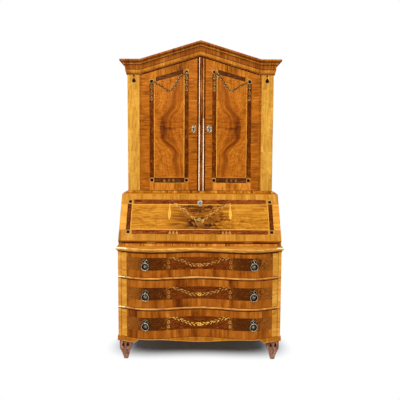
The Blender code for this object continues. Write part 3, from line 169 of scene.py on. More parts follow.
def wood(name, tones, grain, ring=0.018, patch=None, mirror=False, mottle=0.0, contrast=1.5,
         roughness=0.36, coat=0.0, coat_roughness=0.22, unlike=0.10, streak=0.20, hearts=(), tier=None,
         specular=POLISH_SPECULAR):
    """French-polished wood. tones run from the darkest line to the lightest ground.
    ring is the width of the figure's bands, patch (axis, width) the sawn leaves of a crossbanding,
    unlike how far their tones differ, tier (foot, height) the levels that are cut from other leaves,
    and hearts (centre, reach, depth) dark places in it, of its figure or of painted shade."""
    material, tree, point = new_material(name)
    if mirror:
        split = add_node(tree, "ShaderNodeSeparateXYZ", {0: point}).outputs
        across = add_node(tree, "ShaderNodeMath", {0: split[0]}, operation="ABSOLUTE")
        point = add_node(tree, "ShaderNodeCombineXYZ", {0: across, 1: split[1], 2: split[2]})
    tone = None
    if patch:
        axis, width = patch
        split = add_node(tree, "ShaderNodeSeparateXYZ", {0: point}).outputs
        place = split["xyz".index(axis)]
        if tier:
            level = add_node(tree, "ShaderNodeMath", {0: split[2], 1: tier[0]}, operation="SUBTRACT")
            level = add_node(tree, "ShaderNodeMath", {0: level, 1: tier[1]}, operation="SNAP")
            place = add_node(tree, "ShaderNodeMath", {0: level, 1: TIER_SHIFT, 2: place},
                             operation="MULTIPLY_ADD")
        leaf = add_node(tree, "ShaderNodeTexVoronoi", {"W": place, "Scale": 1 / width, "Randomness": 0.7},
                        voronoi_dimensions="1D").outputs["Color"]
        tone = add_node(tree, "ShaderNodeSeparateColor", {0: leaf})
        shift = add_node(tree, "ShaderNodeVectorMath", {0: leaf, 1: (3, 3, 3)}, operation="MULTIPLY")
        point = add_node(tree, "ShaderNodeVectorMath", {0: point, 1: shift})
    rings = add_node(tree, "ShaderNodeTexNoise", {
        "Vector": stretched(tree, point, grain, ring * FIBRE_STRETCH, ring), "Scale": 1.0, "Detail": 4.0,
        "Roughness": 0.58, "Distortion": 0.5 + 2 * mottle})
    streaks = add_node(tree, "ShaderNodeTexNoise", {
        "Vector": stretched(tree, point, grain, STREAK_LENGTH, STREAK_WIDTH), "Scale": 1.0,
        "Detail": 3.0, "Roughness": 0.6, "Distortion": 0.2})
    clouds = add_node(tree, "ShaderNodeTexNoise", {
        "Vector": point, "Scale": 1 / CLOUD_SIZE, "Detail": 2.0, "Distortion": 1.0 + 3 * mottle})
    pores = add_node(tree, "ShaderNodeTexNoise", {
        "Vector": stretched(tree, point, grain, PORE_LENGTH, PORE_WIDTH), "Scale": 1.0, "Detail": 1.0})
    level = add_node(tree, "ShaderNodeMath", {0: rings, 1: 0.52}, operation="MULTIPLY")
    for source, weight in ((streaks, streak), (clouds, 0.18), (tone, unlike), (pores, 0.10)):
        if source is not None:
            level = add_node(tree, "ShaderNodeMath", {0: source, 1: weight, 2: level},
                             operation="MULTIPLY_ADD")
    for centre, reach, depth in hearts:
        wavy = add_node(tree, "ShaderNodeVectorMath", {
            0: clouds.outputs["Color"], 1: (0.20, 0, 0.08), 2: point}, operation="MULTIPLY_ADD")
        spot = soft_spot(tree, wavy, [a + b for a, b in zip(centre, (0.10, 0, 0.04))], reach)
        level = add_node(tree, "ShaderNodeMath", {0: spot, 1: -depth, 2: level}, operation="MULTIPLY_ADD")
    total = 0.80 + streak + (unlike if patch else 0)
    spread = add_node(tree, "ShaderNodeMapRange", {
        "Value": level, "From Min": 0.5 * total - 0.17 / contrast, "From Max": 0.5 * total + 0.17 / contrast})
    tones = tones.split()
    colour = add_node(tree, "ShaderNodeValToRGB", {0: spread},
                      stops=[(i / (len(tones) - 1), hex_text) for i, hex_text in enumerate(tones)])
    height = add_node(tree, "ShaderNodeMath", {0: pores, 1: 0.5, 2: streaks}, operation="MULTIPLY_ADD")
    bump = add_node(tree, "ShaderNodeBump", {"Height": height, "Strength": 0.18, "Distance": PORE_RELIEF})
    gloss = add_node(tree, "ShaderNodeMapRange", {
        "Value": rings, "To Min": roughness - 0.05, "To Max": roughness + 0.10})
    end_material(tree, {"Base Color": colour, "Normal": bump, "Roughness": gloss, "Coat Weight": coat,
                        "Coat Roughness": coat_roughness, "Specular IOR Level": specular})
    return material


def crotch_walnut(name, eye_x, eye_z):
    """The doors' matched panels: from an eye near the outer edge two dark arms sweep inwards in an
    S and run up and down the leaf, with a flame between them and ripples outside them."""
    material, tree, point = new_material(name)
    split = add_node(tree, "ShaderNodeSeparateXYZ", {0: point}).outputs
    across = add_node(tree, "ShaderNodeMath", {0: split[0]}, operation="ABSOLUTE")
    rise = add_node(tree, "ShaderNodeMath", {0: split[2], 1: eye_z}, operation="SUBTRACT")
    tall = add_node(tree, "ShaderNodeMath", {0: rise}, operation="ABSOLUTE")
    whole = add_node(tree, "ShaderNodeCombineXYZ", {0: across, 1: rise, 2: 0.0})
    sway = add_node(tree, "ShaderNodeTexNoise", {"Vector": whole, "Scale": 1 / 0.14, "Detail": 3.0})
    # Distance outside the arm, whose line leaves the eye slowly, swings in and then runs upright
    arm = add_node(tree, "ShaderNodeMapRange", {
        "Value": tall, "From Min": 0.050, "From Max": 0.185, "To Min": eye_x + 0.038,
        "To Max": eye_x - 0.032}, interpolation_type="SMOOTHSTEP")
    lean = add_node(tree, "ShaderNodeMath", {0: tall, 1: 0.10, 2: across}, operation="MULTIPLY_ADD")
    lean = add_node(tree, "ShaderNodeMath", {0: sway, 1: 0.075, 2: lean}, operation="MULTIPLY_ADD")
    outside = add_node(tree, "ShaderNodeMath", {0: lean, 1: arm}, operation="SUBTRACT")
    along = add_node(tree, "ShaderNodeCombineXYZ", {0: outside, 1: rise, 2: 0.0})
    # Growth lines keep to the arms; the flame's lines lie across the leaf; the ripples are fiddleback
    lines, flame, ripple, fibre = (add_node(tree, "ShaderNodeTexNoise", {
        "Vector": add_node(tree, "ShaderNodeMapping", {
            "Vector": base, "Scale": (1 / wide, 1 / tall_size, 1)}),
        "Scale": 1.0, "Detail": 3.0, "Distortion": twist}) for base, wide, tall_size, twist in (
            (along, 0.008, 0.16, 1.1), (whole, 0.09, 0.013, 1.0), (along, 0.035, 0.0075, 0.8),
            (whole, 0.004, 0.05, 0.0)))
    cloud = add_node(tree, "ShaderNodeTexNoise", {
        "Vector": whole, "Scale": 1 / 0.06, "Detail": 3.0, "Distortion": 1.2})
    bands = []
    for middle, half in ((-0.012, 0.034), (-0.052, 0.018)):
        off = add_node(tree, "ShaderNodeMath", {0: outside, 1: middle}, operation="SUBTRACT")
        off = add_node(tree, "ShaderNodeMath", {0: off}, operation="ABSOLUTE")
        bands.append(add_node(tree, "ShaderNodeMapRange", {
            "Value": off, "From Max": half, "To Min": 1.0, "To Max": 0.0}, interpolation_type="SMOOTHSTEP"))
    near = add_node(tree, "ShaderNodeMapRange", {
        "Value": tall, "From Min": 0.06, "From Max": 0.34, "To Min": 1.0, "To Max": 0.45})
    broken = add_node(tree, "ShaderNodeMapRange", {
        "Value": cloud, "From Min": 0.30, "From Max": 0.62, "To Min": 0.45, "To Max": 1.15})
    strong = add_node(tree, "ShaderNodeMath", {0: bands[0], 1: near}, operation="MULTIPLY")
    strong = add_node(tree, "ShaderNodeMath", {0: strong, 1: broken}, operation="MULTIPLY")
    middle = soft_spot(tree, whole, (eye_x - 0.06, 0, 0), (0.22, 0.17, 1))
    eye = soft_spot(tree, whole, (eye_x - 0.045, 0, 0), (0.085, 0.020, 1))
    beyond = add_node(tree, "ShaderNodeMapRange", {"Value": outside, "From Min": -0.01, "From Max": 0.03},
                      interpolation_type="SMOOTHSTEP")
    heart = add_node(tree, "ShaderNodeMapRange", {
        "Value": tall, "From Min": 0.02, "From Max": 0.13, "To Min": 1.0, "To Max": 0.0})
    level = add_node(tree, "ShaderNodeMath", {0: cloud, 1: 0.35, 2: 0.37}, operation="MULTIPLY_ADD")
    for source, weight in ((strong, -0.27), (bands[1], -0.09), (eye, -0.14), (middle, -0.07)):
        level = add_node(tree, "ShaderNodeMath", {0: source, 1: weight, 2: level}, operation="MULTIPLY_ADD")
    for source, gate, weight in ((lines, None, 0.58), (flame, heart, 0.6), (ripple, beyond, 0.50),
                                 (fibre, None, 0.12)):
        source = add_node(tree, "ShaderNodeMath", {0: source, 1: 0.5}, operation="SUBTRACT")
        if gate:
            source = add_node(tree, "ShaderNodeMath", {0: source, 1: gate}, operation="MULTIPLY")
        level = add_node(tree, "ShaderNodeMath", {0: source, 1: weight, 2: level}, operation="MULTIPLY_ADD")
    colour = add_node(tree, "ShaderNodeValToRGB", {0: level}, stops=(
        (0.08, "#3C1506"), (0.30, "#6E3306"), (0.50, "#9A510E"), (0.64, "#B4691A"), (0.92, "#D28B32")))
    bump = add_node(tree, "ShaderNodeBump", {"Height": fibre, "Strength": 0.15, "Distance": PORE_RELIEF})
    end_material(tree, {"Base Color": colour, "Normal": bump, "Roughness": 0.34,
                        "Specular IOR Level": POLISH_SPECULAR})
    return material


def patinated(name, bright, dull, roughness, size=0.006):
    """Cast and chased metal with a darker patina left where polishing doesn't reach."""
    material, tree, point = new_material(name)
    blotch = add_node(tree, "ShaderNodeTexNoise", {"Vector": point, "Scale": 1 / size, "Detail": 4.0})
    colour = add_node(tree, "ShaderNodeValToRGB", {0: blotch}, stops=((0.36, dull), (0.60, bright)))
    gloss = add_node(tree, "ShaderNodeMapRange", {
        "Value": blotch, "To Min": roughness + 0.15, "To Max": roughness - 0.08})
    grit = add_node(tree, "ShaderNodeTexNoise", {"Vector": point, "Scale": 1 / 0.0012, "Detail": 2.0})
    bump = add_node(tree, "ShaderNodeBump", {"Height": grit, "Strength": 0.2, "Distance": 0.0002})
    end_material(tree, {"Base Color": colour, "Roughness": gloss, "Normal": bump, "Metallic": 1.0})
    return material


# Finishes

# The drawers' levels, from the middle of one dust board to the next
BOARD_MIDDLES = [sum(corner.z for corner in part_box("dust_board_" + word)) / 2 for word in ("lower", "upper")]
DRAWER_TIER = (BOARD_MIDDLES[0], BOARD_MIDDLES[1] - BOARD_MIDDLES[0])

# Crossbanded walnut, polished: the fibre runs across the band, so the eye sees short strokes side by
# side, and each sawn leaf has a slightly different tone
STILE_WALNUT = wood("crossbanded_walnut_upright", "#5A280A #8C4A0A #A65C12 #BC7023", "x", ring=0.009,
                    patch=("z", 0.13), unlike=0.07, streak=0.16, contrast=1.25)
RAIL_WALNUT = wood("crossbanded_walnut_level", "#7E440E #B06816 #C87C27 #DC9435", "z",
                   patch=("x", 0.050), unlike=0.11, streak=0.12)
RAKED_RAIL = wood("crossbanded_walnut_raked", "#5A2A08 #8A4A08 #A65E14 #BC7221", "z", ring=0.012,
                  patch=("x", 0.045), unlike=0.12, streak=0.16)
FALL_CROSSBAND = wood("golden_crossbanding", "#804C0E #A86C1B #BA7C28 #CE983E", "yz", ring=0.020,
                      patch=("x", 0.065), unlike=0.08, mottle=0.15, contrast=1.1)
# Its heart darkens the middle of each front: painted shade for the serpentine's hollow
DRAWER_CROSSBAND = wood("drawer_crossbanding", "#5B2604 #8B4709 #AB6018 #C78230", "yz", ring=0.026,
                        patch=("x", 0.052), unlike=0.05, streak=0.10, contrast=0.95,
                        hearts=(((0, 0, 0.5), (0.44, 9, 9), 0.10),), tier=DRAWER_TIER)
END_CROSSBAND = wood("yellow_crossbanding", "#9E5E14 #C4802A #D69638 #E8AE4F", "x", ring=0.024,
                     patch=("z", 0.07), unlike=0.09, streak=0.10, contrast=1.1)
FRIEZE_WALNUT = wood("crossbanded_frieze", "#8A4E19 #C07429 #DC8E35 #F6AC4B", "z", ring=0.016,
                     patch=("x", 0.045), unlike=0.12)

# Walnut veneers, polished: quiet long lines on the case, clouds and dark hearts on the figured
# fields, and small swirling eyes in the burr
CASE_WALNUT = wood("walnut_case_veneer", "#744001 #9E5C12 #B4721E #C68A35", "z", ring=0.030)
DESK_WALNUT = wood("walnut_desk_veneer", "#844801 #AC6814 #C07C21 #D09235", "x", ring=0.016)
FALL_FIELD = wood("figured_fall_field", "#3B1C0C #81480C #B5741B #CD902F #DFA843", "x", ring=0.026,
                  mottle=0.8, contrast=0.75, streak=0.10, hearts=(
                      ((0, 0, 0.95), (0.28, 9, 0.30), 0.12), ((-0.055, 0, 0.944), (0.070, 9, 0.036), 0.18),
                      ((0.060, 0, 0.925), (0.050, 9, 0.020), 0.16), ((0.03, 0, 1.03), (0.12, 9, 0.018), 0.12),
                      ((-0.09, 0, 1.045), (0.09, 9, 0.014), 0.12), ((0.12, 0, 0.96), (0.10, 9, 0.014), 0.12)))
# Its hearts near the pulls are partly the burr's darker figure and partly painted shadow round the pulls
DRAWER_BURR = wood("burr_walnut_panels", "#492003 #79420F #975619 #BB7A35", "x", ring=0.012, mottle=2.0,
                   contrast=1.15, streak=0.08,
                   hearts=[((side * 0.30, 0, 0.5), (0.15, 9, 9), 0.16) for side in (1, -1)])
CENTRE_BURR = wood("red_walnut_panels", "#320C00 #5A2402 #74360A #94541E", "x", ring=0.020, mottle=1.5,
                   mirror=True, contrast=1.2)
DOOR_PANEL = crotch_walnut("crotch_walnut_panels", 0.28, 1.585)
PILASTER_WOOD = wood("yellow_walnut_pilasters", "#A06C26 #B8802C #C89236 #D6A446", "z", ring=0.040,
                     mottle=0.8, patch=("z", 0.16), unlike=0.06, streak=0.12)
DOOR_EDGE = wood("walnut_door_edges_and_backs", "#6E3C0A #9A5A14 #B0701E #C4883A", "z", ring=0.030,
                 specular=0.0)
CABINET_SIDE = wood("walnut_cabinet_sides", "#7E4C10 #A86C1C #BC8028 #CE943C", "z", ring=0.028)

# Moulded walnut: the polish is thick on the rounded mouldings, which catch a clear light, and dulled by wear
# on the flat tops; painted highlights lie pale on their crests and ends, and painted shade darkens their
# hollows
GOLDEN_MOULDING = wood("golden_walnut_moulding", "#94560C #C07A1C #D6942A #E6AC40", "x", ring=0.012,
                       coat=0.8, coat_roughness=0.10)
# Painted shade: dark lines of wood in the cornice's quirks
PAINTED_QUIRK_SHADE = wood("painted_shade_in_cornice_quirks", "#4A1E06 #66300C #7A3E12 #90521E", "x", ring=0.010,
                   roughness=0.6)
WORN_TOP = wood("worn_moulding_top", "#86500E #B0701C #C08228 #D0983C", "x", ring=0.012, roughness=0.7)
# Painted shade: a dark wood laid where shade falls, in hollows, under lips and beads, in the feet's drops,
# along the doors' meeting edges and under the fall
PAINTED_SHADE = wood("painted_shade_in_hollows", "#240E02 #3A1804 #4E2408 #6A3810", "x", ring=0.010, roughness=0.7)
# Painted highlight: a paler wood along the beads' and the waist moulding's crests and down one astragal reed
PAINTED_CREST_HIGHLIGHT = wood("painted_highlight_on_crests", "#A8622A #C8843C #DC9C50 #ECB878", "x", ring=0.012)
# Painted highlight: near-white glossy wood on the ends of the beads and of the waist moulding
PAINTED_END_HIGHLIGHT = wood("painted_highlight_on_ends", "#ECC888 #F6DCA4 #FCE8BC #FFF2D4", "x", ring=0.020, coat=0.8,
                  coat_roughness=0.10)
# A lighter copy of the cornice's wood: painted light on the ovolo and on the fillet in the hollow
LIT_CORNICE_WOOD = wood("cornice_wood_painted_lit", "#7A420E #A4601A #BE7A26 #D49A44", "yz", ring=0.009,
                  patch=("x", 0.035), streak=0.24, contrast=1.0)
CORNICE_WOOD = wood("cross_grained_cornice", "#592606 #7D3E0A #975416 #B3762E", "yz", ring=0.009,
                    patch=("x", 0.035), streak=0.24, contrast=1.0)
RAIL_BEAD = wood("long_grained_bead", "#8A4A12 #B46C1E #CA8428 #DCA040", "x", ring=0.012, coat=0.7,
                 coat_roughness=0.12)
PLINTH_WOOD = wood("walnut_plinth", "#743A02 #9C560F #B46E1C #CA8A30", "z", patch=("x", 0.05), unlike=0.04,
                   contrast=0.9)
BASE_WOOD = wood("cross_grained_base", "#622E00 #925205 #B06E17 #CC8E32", "yz", ring=0.010,
                 patch=("x", 0.04), streak=0.34)
ASTRAGAL_WOOD = wood("reeded_walnut_astragal", "#3E1802 #6A3008 #864612 #A26422", "z", ring=0.010,
                     coat=0.04, specular=0.0)
# Painted highlight: pale lines on the astragal's reeds
PAINTED_REED_HIGHLIGHT = wood("painted_highlight_on_reeds", "#DCB888 #F0D2A2 #FADFB8 #FFEBCC", "z", ring=0.03, specular=0.0)

# Stained beech, handled for long: reddish brown with close lines, paler where the collar is rubbed
FOOT_WOOD = wood("stained_beech_feet", "#603E2E #90624C #A87A66 #C8A28C", "z", ring=0.009, roughness=0.48)
FOOT_CAP = wood("rubbed_foot_collar", "#6C4838 #8C6450 #A27A64 #B8947E", "z", ring=0.006, roughness=0.45)

# Inlay woods, sawn thin and polished with the ground: stained burr gives dark mottled bands,
# ebonised pear black squares, and boxwood, maple and holly pale leaves with hardly a line in them
DARK_BAND = wood("stained_burr_banding", "#280A00 #4E1E00 #682C00 #884812", "z", ring=0.012, mottle=1.0,
                 contrast=1.6)
DOOR_DARK_RAIL = wood("stained_burr_banding_door", "#220A00 #421C04 #562C0A #724218", "x", ring=0.014,
                      mottle=1.0, contrast=1.6)
DARK_RAIL = wood("stained_burr_banding_level", "#3A1202 #662A06 #843E0E #A66226", "x", ring=0.014,
                 mottle=1.0, contrast=1.6)
EBONISED = wood("ebonised_pear", "#0A0402 #100603 #180A05 #241008", "z", ring=FINE_RING)
(BOXWOOD, TILE_FRAME, CORAL_FLOWER, GREEN_FLOWER, SILVERED_HOLLY, TAN_BOX, YELLOW_BOX, DULL_DARTS, ROSY_HOLLY,
 SCORCHED) = (wood(name, tones, "x", ring=FINE_RING) for name, tones in (
     ("boxwood_stringing", "#B87A24 #D09434 #DCA240 #E6B050"),
     ("cream_box_frames", "#94683A #B08448 #C09A5C #D0AE74"),
     ("coral_stained_holly", "#984A20 #B4622C #C4743A #CC8450"),
     ("green_stained_holly", "#6E5A1E #8E7430 #A48A40 #B89E56"),
     ("grey_holly_inlay", "#76562A #96743C #AC8A4E #C4A46C"),
     ("tan_box_inlay", "#8E5A20 #B07832 #C88E44 #DCAC60"),
     ("yellow_boxwood_inlay", "#C08428 #DE9E38 #EAB048 #F4C45E"),
     ("dulled_holly_darts", "#6A3C18 #804E22 #92602C #A27038"),
     ("rosy_maple_darts", "#8E5C2E #AC7842 #C08C54 #D4A46C"),
     ("scorched_holly", "#1E0A02 #301204 #401C08 #542C10")))

# Carcase woods, planed and left bare: oak is close and straight, pine broad and yellow, both dull
OAK = wood("oak_drawer_lining", "#8A6238 #AE8450 #BF9560 #CDA874", "y", ring=0.010, roughness=0.6)
PINE, ROOF_PINE = (wood(name, "#8E6A3C #B48E58 #C49F69 #D3B27E", grain, roughness=0.65)
                   for name, grain in (("aged_pine_boards", "z"), ("aged_pine_roof_boards", "x")))

# Metals: silvered cast brass that has dulled to grey with black in its hollows, drawn brass with a
# soft brown film, and turned steel
SILVERED = patinated("silvered_cast_brass", "#BEB49E", "#463E30", 0.33, 0.004)
TARNISHED = patinated("tarnished_silvered_ground", "#5A5040", "#17120C", 0.45, 0.004)
DULL_SILVER = patinated("dull_silvered_lock_plate", "#A09680", "#3A3024", 0.45, 0.004)
BRASS = patinated("drawn_brass", "#C9A45A", "#8A6B30", 0.30)
STEEL = patinated("turned_steel", "#9A978F", "#5C5A55", 0.34)


# Meshes

def add_object(name, data):
    """Put a new object into the scene."""
    item = bpy.data.objects.new(name, data)
    bpy.context.scene.collection.objects.link(item)
    return item


def mesh_from(name, bm):
    """A mesh from bm, with its faces turned outwards."""
    bmesh.ops.recalc_face_normals(bm, faces=bm.faces)
    mesh = bpy.data.meshes.new(name)
    bm.to_mesh(mesh)
    bm.free()
    return mesh


def evaluated_mesh(item):
    """A plain mesh of an object as its modifiers or its bevel leave it."""
    return bpy.data.meshes.new_from_object(item.evaluated_get(bpy.context.evaluated_depsgraph_get()))


def new_piece(name, bm, material, body="case", replaced=None, crease=30):
    """Finish bm as a piece that rides on a body; edges sharper than crease degrees stay crisp."""
    mesh = mesh_from(name, bm)
    mesh.shade_smooth()
    mesh.set_sharp_from_angle(angle=math.radians(crease))
    mesh.materials.clear()
    mesh.materials.append(material)
    piece = add_object(name, mesh)
    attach(piece, body)
    if replaced:
        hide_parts(replaced)
    return piece


def finish_faces(piece, *coats):
    """Give each (material, test) to the faces whose centre and normal pass its test."""
    for material, chosen in coats:
        piece.data.materials.append(material)
        for face in piece.data.polygons:
            if chosen(face.center, face.normal):
                face.material_index = len(piece.data.materials) - 1


def add_loft(bm, rings, closed=False):
    """Add a solid through rings of points; it has a flat cap at each end, or runs round closed."""
    rows = [[bm.verts.new(point) for point in ring] for ring in rings]
    for lower, upper in zip(rows, rows[1:] + rows[:1] if closed else rows[1:]):
        for i in range(len(lower)):
            j = (i + 1) % len(lower)
            bm.faces.new((lower[i], lower[j], upper[j], upper[i]))
    if not closed:
        bm.faces.new(rows[0])
        bm.faces.new(rows[-1])


def add_ribbon(bm, rows, face, high):
    """Add a thin band through rows of two (u, v) edge points, bedded in a face and high over it."""
    add_loft(bm, [(face(*a, BEDDED), face(*b, BEDDED), face(*b, high), face(*a, high)) for a, b in rows])


def spaced(start, end, step):
    """Even stations from start to end, at most a step apart."""
    count = max(1, math.ceil(abs(end - start) / step))
    return [start + (end - start) * i / count for i in range(count + 1)]


def add_band(bm, face, u_range, v_range, high, step=1.0):
    """Add a rectangle of veneer, cut into stations along u where the face is curved."""
    add_ribbon(bm, [((u, v_range[0]), (u, v_range[1])) for u in spaced(*u_range, step)], face, high)


def veneer(name, material, body, face, areas, high=VENEER, step=1.0):
    """A piece of veneer over (u range, v range) areas of a face."""
    bm = bmesh.new()
    for u_range, v_range in areas:
        add_band(bm, face, u_range, v_range, high, step)
    return new_piece(name, bm, material, body)


def both_sides(inner, outer, v_range):
    """The same area on the left and on the right."""
    return [((side * inner, side * outer), v_range) for side in (-1, 1)]


def add_shape(bm, face, outline, high=INLAY, low=BEDDED, crown=0.0):
    """Add a flat shape whose middle may be raised by crown over its edge."""
    centre = (sum(u for u, _ in outline) / len(outline), sum(v for _, v in outline) / len(outline))
    under = [bm.verts.new(face(u, v, low)) for u, v in outline]
    edge = [bm.verts.new(face(u, v, high)) for u, v in outline]
    top = bm.verts.new(face(*centre, high + crown))
    bottom = bm.verts.new(face(*centre, low))
    for i in range(len(outline)):
        j = (i + 1) % len(outline)
        bm.faces.new((under[i], under[j], edge[j], edge[i]))
        bm.faces.new((edge[i], edge[j], top))
        bm.faces.new((under[j], under[i], bottom))


def add_line(bm, path, face, width, high):
    """A narrow line of inlay along a path."""
    rows = []
    for i, (u, v) in enumerate(path):
        before, after = path[max(i - 1, 0)], path[min(i + 1, len(path) - 1)]
        run, rise = after[0] - before[0], after[1] - before[1]
        size = math.hypot(run, rise) or 1
        side_u, side_v = -rise / size * width / 2, run / size * width / 2
        rows.append(((u + side_u, v + side_v), (u - side_u, v - side_v)))
    add_ribbon(bm, rows, face, high)


def arc(centre, radii, start, end, steps):
    """Points of an ellipse's arc, angles in degrees."""
    points = []
    for i in range(steps + 1):
        angle = math.radians(start + (end - start) * i / steps)
        points.append((centre[0] + radii[0] * math.cos(angle), centre[1] + radii[1] * math.sin(angle)))
    return points


def oval(centre, radii, steps):
    """A whole ellipse, or a circle where radii is one number."""
    return arc(centre, radii if isinstance(radii, tuple) else (radii, radii), 0, 360, steps)[:-1]


def smooth_path(points, steps=8, closed=False):
    """A Catmull-Rom curve through (u, v) points."""
    points = list(points)
    padded = [points[-1]] + points + points[:2] if closed else [points[0]] + points + [points[-1]]
    path = []
    for quad in zip(padded, padded[1:], padded[2:], padded[3:]):
        for i in range(steps):
            t = i / steps
            path.append(tuple(0.5 * (2 * b + (c - a) * t + (2 * a - 5 * b + 4 * c - d) * t ** 2
                                     + (3 * b - a - 3 * c + d) * t ** 3)
                              for a, b, c, d in zip(*quad)))
    return path if closed else path + [tuple(points[-1])]


def mirrored(right, middle=0.0, shared=0):
    """A closed outline from its right half, turned over about u = middle. shared points at the start
    or, where it is negative, at the end of the half lie on that line and aren't repeated."""
    half = right[shared:] if shared > 0 else right[:shared or None]
    return right + [(2 * middle - u, v) for u, v in reversed(half)]


def ease(share):
    """A share from 0 to 1, made slow at both ends."""
    share = min(max(share, 0), 1)
    return (1 - math.cos(math.pi * share)) / 2


def serpentine(x):
    """Y of the drawers' face at x: two bulges with a shallow hollow between them."""
    x = abs(x)
    if x <= PEAK_X:
        reach = CENTRE + (BULGE - CENTRE) * ease(x / PEAK_X)
    else:
        reach = BULGE * math.cos(math.pi / 2 * min((x - PEAK_X) / (INSIDE_HALF - PEAK_X), 1))
    return max(CASE_FRONT - reach, FRONT_REACH)


# Faces that carry veneer: each maps (u, v) and a height over the face to a point

def flat_face(y):
    """An upright face that looks to the front."""
    return lambda u, v, w: Vector((u, y - w, v))


def drawer_face(u, v, w):
    return Vector((u, serpentine(u) - w, v))


def fall_face(u, v, w):
    return FALL_HINGE + Vector((u, 0, 0)) + FALL_UP * v + FALL_OUT * (FALL_THICKNESS + w * FALL_LAYER_SHARE)


case_face = flat_face(CASE_FRONT)
door_face = flat_face(DOOR_FACE)


# Leaves along a path: one tree draws the festoons, the flowers and the rosettes' petals

def path_leaves_tree():
    """Leaves at a pitch along a path, splayed to one side or to both in turn, with seeded variety."""
    tree = bpy.data.node_groups.new("leaves_along_a_path", "GeometryNodeTree")
    for name, kind in (("Path", "Geometry"), ("Leaf", "Object"), ("Pitch", "Float"), ("Length", "Float"),
                       ("Length Variation", "Float"), ("Splay", "Float"), ("Splay Variation", "Float"),
                       ("Alternate", "Float"), ("Seed", "Int"), ("Material", "Material")):
        tree.interface.new_socket(name, in_out="INPUT", socket_type="NodeSocket" + kind)
    tree.interface.new_socket("Leaves", in_out="OUTPUT", socket_type="NodeSocketGeometry")
    given = add_node(tree, "NodeGroupInput").outputs
    curve = add_node(tree, "GeometryNodeMeshToCurve", {"Mesh": given["Path"]})
    points = add_node(tree, "GeometryNodeCurveToPoints", {0: curve, "Length": given["Pitch"]}, mode="LENGTH")
    index = add_node(tree, "GeometryNodeInputIndex")
    odd = add_node(tree, "ShaderNodeMath", {0: index, 1: 2.0}, operation="MODULO")
    odd = add_node(tree, "ShaderNodeMath", {0: odd, 1: given["Alternate"]}, operation="MULTIPLY")
    side = add_node(tree, "ShaderNodeMath", {0: odd, 1: -2.0, 2: 1.0}, operation="MULTIPLY_ADD")
    splay = add_node(tree, "ShaderNodeMath", {0: side, 1: given["Splay"]}, operation="MULTIPLY")
    chance = add_node(tree, "FunctionNodeRandomValue", {2: -1.0, 3: 1.0, "Seed": given["Seed"]},
                      data_type="FLOAT").outputs[1]
    splay = add_node(tree, "ShaderNodeMath", {0: chance, 1: given["Splay Variation"], 2: splay},
                     operation="MULTIPLY_ADD")
    facing = add_node(tree, "FunctionNodeAlignRotationToVector", {"Vector": points.outputs["Tangent"]},
                      axis="X", pivot_axis="Z")
    turn = add_node(tree, "FunctionNodeAxisAngleToRotation", {"Axis": (0, 0, 1), "Angle": splay})
    turned = add_node(tree, "FunctionNodeRotateRotation", {"Rotation": facing, "Rotate By": turn},
                      rotation_space="LOCAL")
    growth = add_node(tree, "FunctionNodeRandomValue", {2: -1.0, 3: 1.0, "ID": index, "Seed": 7},
                      data_type="FLOAT").outputs[1]
    growth = add_node(tree, "ShaderNodeMath", {0: growth, 1: given["Length Variation"], 2: 1.0},
                      operation="MULTIPLY_ADD")
    length = add_node(tree, "ShaderNodeMath", {0: growth, 1: given["Length"]}, operation="MULTIPLY")
    scale = add_node(tree, "ShaderNodeCombineXYZ", {0: length, 1: length, 2: 1.0})
    leaf = add_node(tree, "GeometryNodeObjectInfo", {"Object": given["Leaf"]})
    leaves = add_node(tree, "GeometryNodeInstanceOnPoints", {
        "Points": points, "Instance": leaf.outputs["Geometry"], "Rotation": turned, "Scale": scale})
    real = add_node(tree, "GeometryNodeRealizeInstances", {0: leaves})
    finished = add_node(tree, "GeometryNodeSetMaterial", {0: real, "Material": given["Material"]})
    add_node(tree, "NodeGroupOutput", {0: finished})
    return tree


LEAVES = path_leaves_tree()


def leaf_pattern(name, outline, high, low=BEDDED, crown=0.0):
    """A leaf of unit length along +X, kept out of the scene, for the tree to repeat."""
    bm = bmesh.new()
    add_shape(bm, lambda u, v, w: Vector((u, v, w)), outline, high, low, crown)
    return bpy.data.objects.new(name, mesh_from(name, bm))


def pointed_leaf(width):
    """Outline of a leaf from its stalk to its tip and back, as shares of its length."""
    half = [(0.0, 0.08), (0.18, 0.62), (0.42, 1.0), (0.68, 0.74), (0.88, 0.30)]
    return ([(u, -v * width / 2) for u, v in half] + [(1.0, 0.0)]
            + [(u, v * width / 2) for u, v in reversed(half)])


def path_leaves(bm, path, leaf, face, material, closed=False, **inputs):
    """Add leaves along a (u, v) path to bm, laid on a face. An underscore stands for a space."""
    mesh = bpy.data.meshes.new("path")
    edges = [(i, i + 1) for i in range(len(path) - 1)] + ([(len(path) - 1, 0)] if closed else [])
    mesh.from_pydata([(u, v, 0) for u, v in path], edges, [])
    carrier = add_object("path", mesh)
    modifier = carrier.modifiers.new("leaves", "NODES")
    modifier.node_group = LEAVES
    values = {"Leaf": leaf, "Material": material, "Length Variation": 0.0, "Splay Variation": 0.0,
              "Alternate": 1.0, "Seed": 1, **{key.replace("_", " "): value for key, value in inputs.items()}}
    for item in LEAVES.interface.items_tree:
        if item.in_out == "INPUT" and item.name in values:
            modifier[item.identifier] = values[item.name]
    made = evaluated_mesh(carrier)
    carrier.modifiers.clear()
    for vertex in made.vertices:
        vertex.co = face(*vertex.co)
    bm.from_mesh(made)
    bpy.data.objects.remove(carrier)
    bpy.data.meshes.remove(mesh)
    bpy.data.meshes.remove(made)


def path_petals(bm, centre, radius, petal, count, length, face, material, steps=24):
    """Add petals that point outwards from a circle."""
    path_leaves(bm, oval(centre, radius, steps), petal, face, material, closed=True, Length=length,
                Pitch=2 * math.pi * radius / count, Splay=-math.pi / 2, Alternate=0.0)


